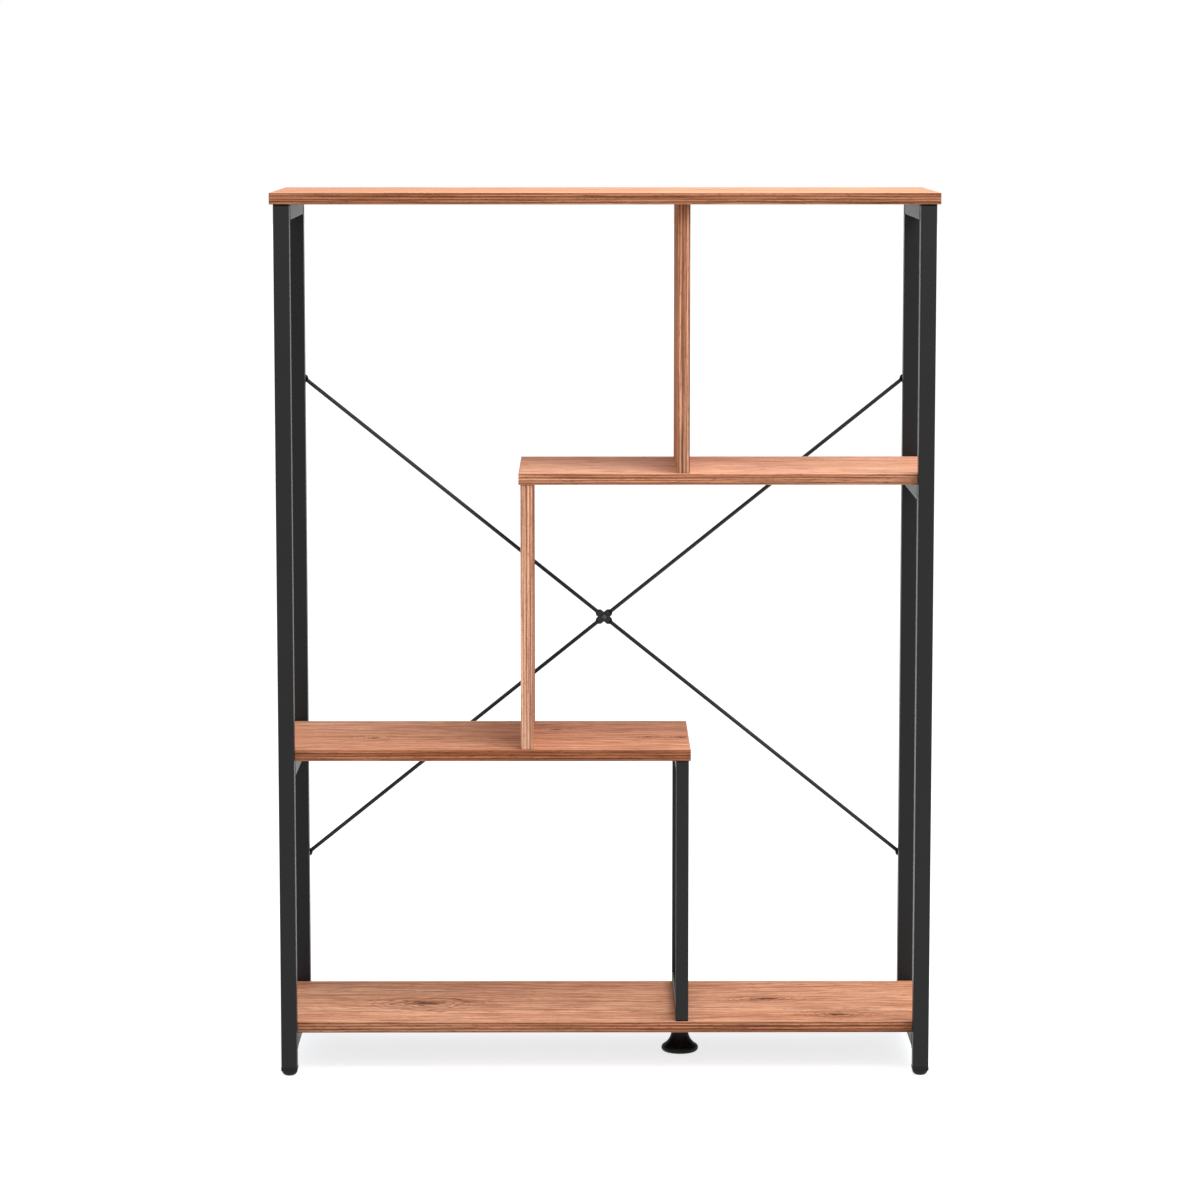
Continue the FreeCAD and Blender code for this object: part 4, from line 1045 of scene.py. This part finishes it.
@dataclass
class LevellingFoot:
    """Flared foot under the bottom shelf, on a threaded stud with a lock nut."""

    # Radius, pitch and depth of the thread, radius of the head, and half width across the flats of the
    # hexagon and its height over the floor.
    thread: float = 5.0 * MM
    pitch: float = 1.5 * MM
    thread_depth: float = 0.8 * MM
    head: float = 8.0 * MM
    head_height: float = 5.0 * MM
    hexagon: float = 7.0 * MM
    hexagon_under: float = 43 * MM
    hexagon_height: float = 7.0 * MM
    chamfer: float = 0.7 * MM
    # How far the hexagon's chamfered ends stand out beyond its flats.
    ease: float = 0.25 * MM
    # The plain neck rises into the threaded rod, which starts a little above the hexagon.
    neck_rise: float = 1.0 * MM
    rod_gap: float = 0.5 * MM
    facets: int = 48
    rod_facets: int = 36
    rows_per_pitch: int = 8

    def thread_tree(self) -> Tree:
        """Tree that cuts a helical thread into a cylinder of rows."""
        kinds = dict.fromkeys(("Radius", "Length", "Pitch", "Depth"), "Float")
        kinds |= {"Rows": "Int", "Place": "Vector", "Finish": "Material"}
        tree, given = geometry_tree("cut_thread", **kinds)
        radius = given["Radius"]
        form = {"Vertices": self.rod_facets, "Side Segments": given["Rows"]}
        form |= {"Radius": radius, "Depth": given["Length"]}
        rod = add_node(tree, "GeometryNodeMeshCylinder", form)
        place = add_node(tree, "GeometryNodeInputPosition")
        x, y, z = add_node(tree, "ShaderNodeSeparateXYZ", {0: place}).outputs
        turn = add_node(tree, MATH, {0: y, 1: x}, operation="ARCTAN2")
        share = add_node(tree, MATH, {0: turn, 1: math.tau}, operation="DIVIDE")
        climb = add_node(tree, MATH, {0: z, 1: given["Pitch"]}, operation="DIVIDE")
        along = add_node(tree, MATH, {0: climb, 1: share}, operation="SUBTRACT")
        # A triangle wave over each pitch: 0 on the crest and 1 at the bottom of the groove.
        groove = add_node(tree, MATH, {0: along, 1: 0.5}, operation="PINGPONG")
        deep = add_node(tree, MATH, {0: groove, 1: 2.0}, operation="MULTIPLY")
        cut = add_node(tree, MATH, {0: given["Depth"], 1: radius}, operation="DIVIDE")
        inward = add_node(tree, MATH, {0: deep, 1: cut}, operation="MULTIPLY")
        flat = add_node(tree, "ShaderNodeCombineXYZ", {"X": x, "Y": y})
        minus = add_node(tree, MATH, {0: inward, 1: -1.0}, operation="MULTIPLY")
        sunk = add_node(tree, VECTOR_MATH, {0: flat, "Scale": minus}, operation="SCALE")
        moved = add_node(tree, VECTOR_MATH, {0: sunk, 1: given["Place"]}, operation="ADD")
        threaded = add_node(tree, "GeometryNodeSetPosition", {"Geometry": rod, "Offset": moved})
        joined = add_node(tree, "GeometryNodeJoinGeometry")
        tree.links.new(threaded.outputs[0], joined.inputs[0])
        tree.links.new(given["Geometry"], joined.inputs[0])
        end_tree(tree, joined, given["Finish"])
        return tree

    def plain_stud(self, low: Vector, centre: Vector) -> Mesh:
        """Make the stud's head, plain shank and chamfered hexagon.

        Args:
            low: Lowest corner of the stud.
            centre: Axis of the stud.

        Returns:
            The mesh, at its place.
        """
        flats = hexagon_reach(self.hexagon)

        def eased(turn: float) -> float:
            """Give the reach of the hexagon's chamfered ends."""
            return min(flats(turn), self.hexagon + self.ease)

        under, over = self.hexagon_under, self.hexagon_under + self.hexagon_height
        neck = self.thread - self.thread_depth
        rows = [
            (low.z, self.head),
            (low.z + self.head_height, self.head),
            (low.z + self.head_height, self.thread),
            (under, self.thread),
            (under, eased),
            (under + self.chamfer, flats),
            (over - self.chamfer, flats),
            (over, eased),
            (over, neck),
            (over + self.neck_rise, neck),
        ]
        return lofted("plain_stud", rows, all_round(self.facets), centre.xy)

    def build(self) -> None:
        """Thread the stud, in place of the plain one."""
        low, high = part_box("centre_foot_stud")
        centre = (low + high) / 2
        start = self.hexagon_under + self.hexagon_height + self.rod_gap
        length = high.z - start
        place = (centre.x, centre.y, start + length / 2)
        values = {
            "Radius": self.thread,
            "Length": length,
            "Pitch": self.pitch,
            "Depth": self.thread_depth,
            "Rows": round(length / self.pitch * self.rows_per_pitch),
            "Place": place,
            "Finish": BRIGHT_ZINC.material(),
        }
        base = self.plain_stud(low, centre)
        stud = grown("centre_foot_threaded_stud", base, self.thread_tree(), values)
        settle(stud, "foot_stud", ["centre_foot_stud"])

    def dress(self) -> None:
        """Give the foot its plastic and plate its hardware."""
        for part in ("base", "stud", "lock_nut", "insert"):
            dress_node("centre_foot_" + part)


@dataclass(frozen=True)
class Lamp:
    """A square softbox: where it hangs, where it points, its side and its power."""

    name: str
    place: tuple[float, float, float]
    target: tuple[float, float, float]
    side: float
    watts: float


@dataclass(frozen=True)
class Studio:
    """White floor, soft light and a camera that stands where the photograph was taken."""

    floor_reach: float = 40.0
    ambient: float = 0.66
    # The camera's place, its tilt down and turn in degrees, and its lens and sensor in millimetres.
    camera_place: tuple[float, float, float] = (-0.033, -6.493, 1.5647)
    camera_pitch: float = 7.219
    camera_yaw: float = 0.227
    lens: float = 121.83
    sensor: float = 36.0
    lamps: tuple[Lamp, ...] = (
        Lamp("overhead_softbox", (1.2, -1.3, 3.2), (0.0, 0.0, 0.7), 2.6, 112.0),
        Lamp("front_softbox", (-0.6, -4.2, 2.2), (0.0, 0.0, 0.7), 2.4, 12.0),
    )

    def build(self) -> None:
        """Set up floor, world, lamps and camera."""
        self.floor()
        self.world()
        for lamp in self.lamps:
            self.hang(lamp)
        self.camera()
        bpy.context.scene.view_settings.view_transform = "Standard"

    def floor(self) -> None:
        """Lay a large paper floor."""
        far = self.floor_reach
        sheet = bpy.data.meshes.new("paper_floor")
        corners = [(-far, -far, 0), (far, -far, 0), (far, far, 0), (-far, far, 0)]
        sheet.from_pydata(corners, [], [(0, 1, 2, 3)])
        sheet.materials.append(StudioPaper().material())
        mesh_object("paper_floor", sheet)

    def world(self) -> None:
        """Light the scene evenly from all round, and show white behind it."""
        world = bpy.data.worlds.new("white_studio")
        bpy.context.scene.world = world
        world.use_nodes = True
        tree = world.node_tree
        tree.nodes.clear()
        levels = {"Value": seen_share(tree), "To Min": self.ambient, "To Max": 1.0}
        level = add_node(tree, MAP_RANGE, levels)
        sky = add_node(tree, "ShaderNodeBackground", {"Color": (1, 1, 1, 1), "Strength": level})
        add_node(tree, "ShaderNodeOutputWorld", {"Surface": sky})

    def hang(self, lamp: Lamp) -> None:
        """Hang one softbox and aim it."""
        light = bpy.data.lights.new(lamp.name, "AREA")
        light.shape = "SQUARE"
        light.size = lamp.side
        light.energy = lamp.watts
        box = bpy.data.objects.new(lamp.name, light)
        box.location = lamp.place
        aim = Vector(lamp.target) - Vector(lamp.place)
        box.rotation_euler = aim.to_track_quat("-Z", "Y").to_euler()
        bpy.context.scene.collection.objects.link(box)

    def camera(self) -> None:
        """Stand the camera where the photograph was taken."""
        eye = bpy.data.cameras.new("camera")
        eye.lens = self.lens
        eye.sensor_width = self.sensor
        stand = bpy.data.objects.new("camera", eye)
        stand.location = self.camera_place
        tilt, turn = math.radians(90 - self.camera_pitch), math.radians(-self.camera_yaw)
        stand.rotation_euler = (tilt, 0.0, turn)
        bpy.context.scene.collection.objects.link(stand)
        bpy.context.scene.camera = stand


def main() -> None:
    """Build and dress the bookshelf, and set up the studio."""
    logging.basicConfig(level=logging.INFO, format="%(message)s")
    for assembly in (SideFrames(), InnerFrame(), Dividers(), CrossBrace(), LevellingFoot()):
        assembly.build()
        assembly.dress()
    Boards().dress()
    Studio().build()


if __name__ == "__main__":
    main()
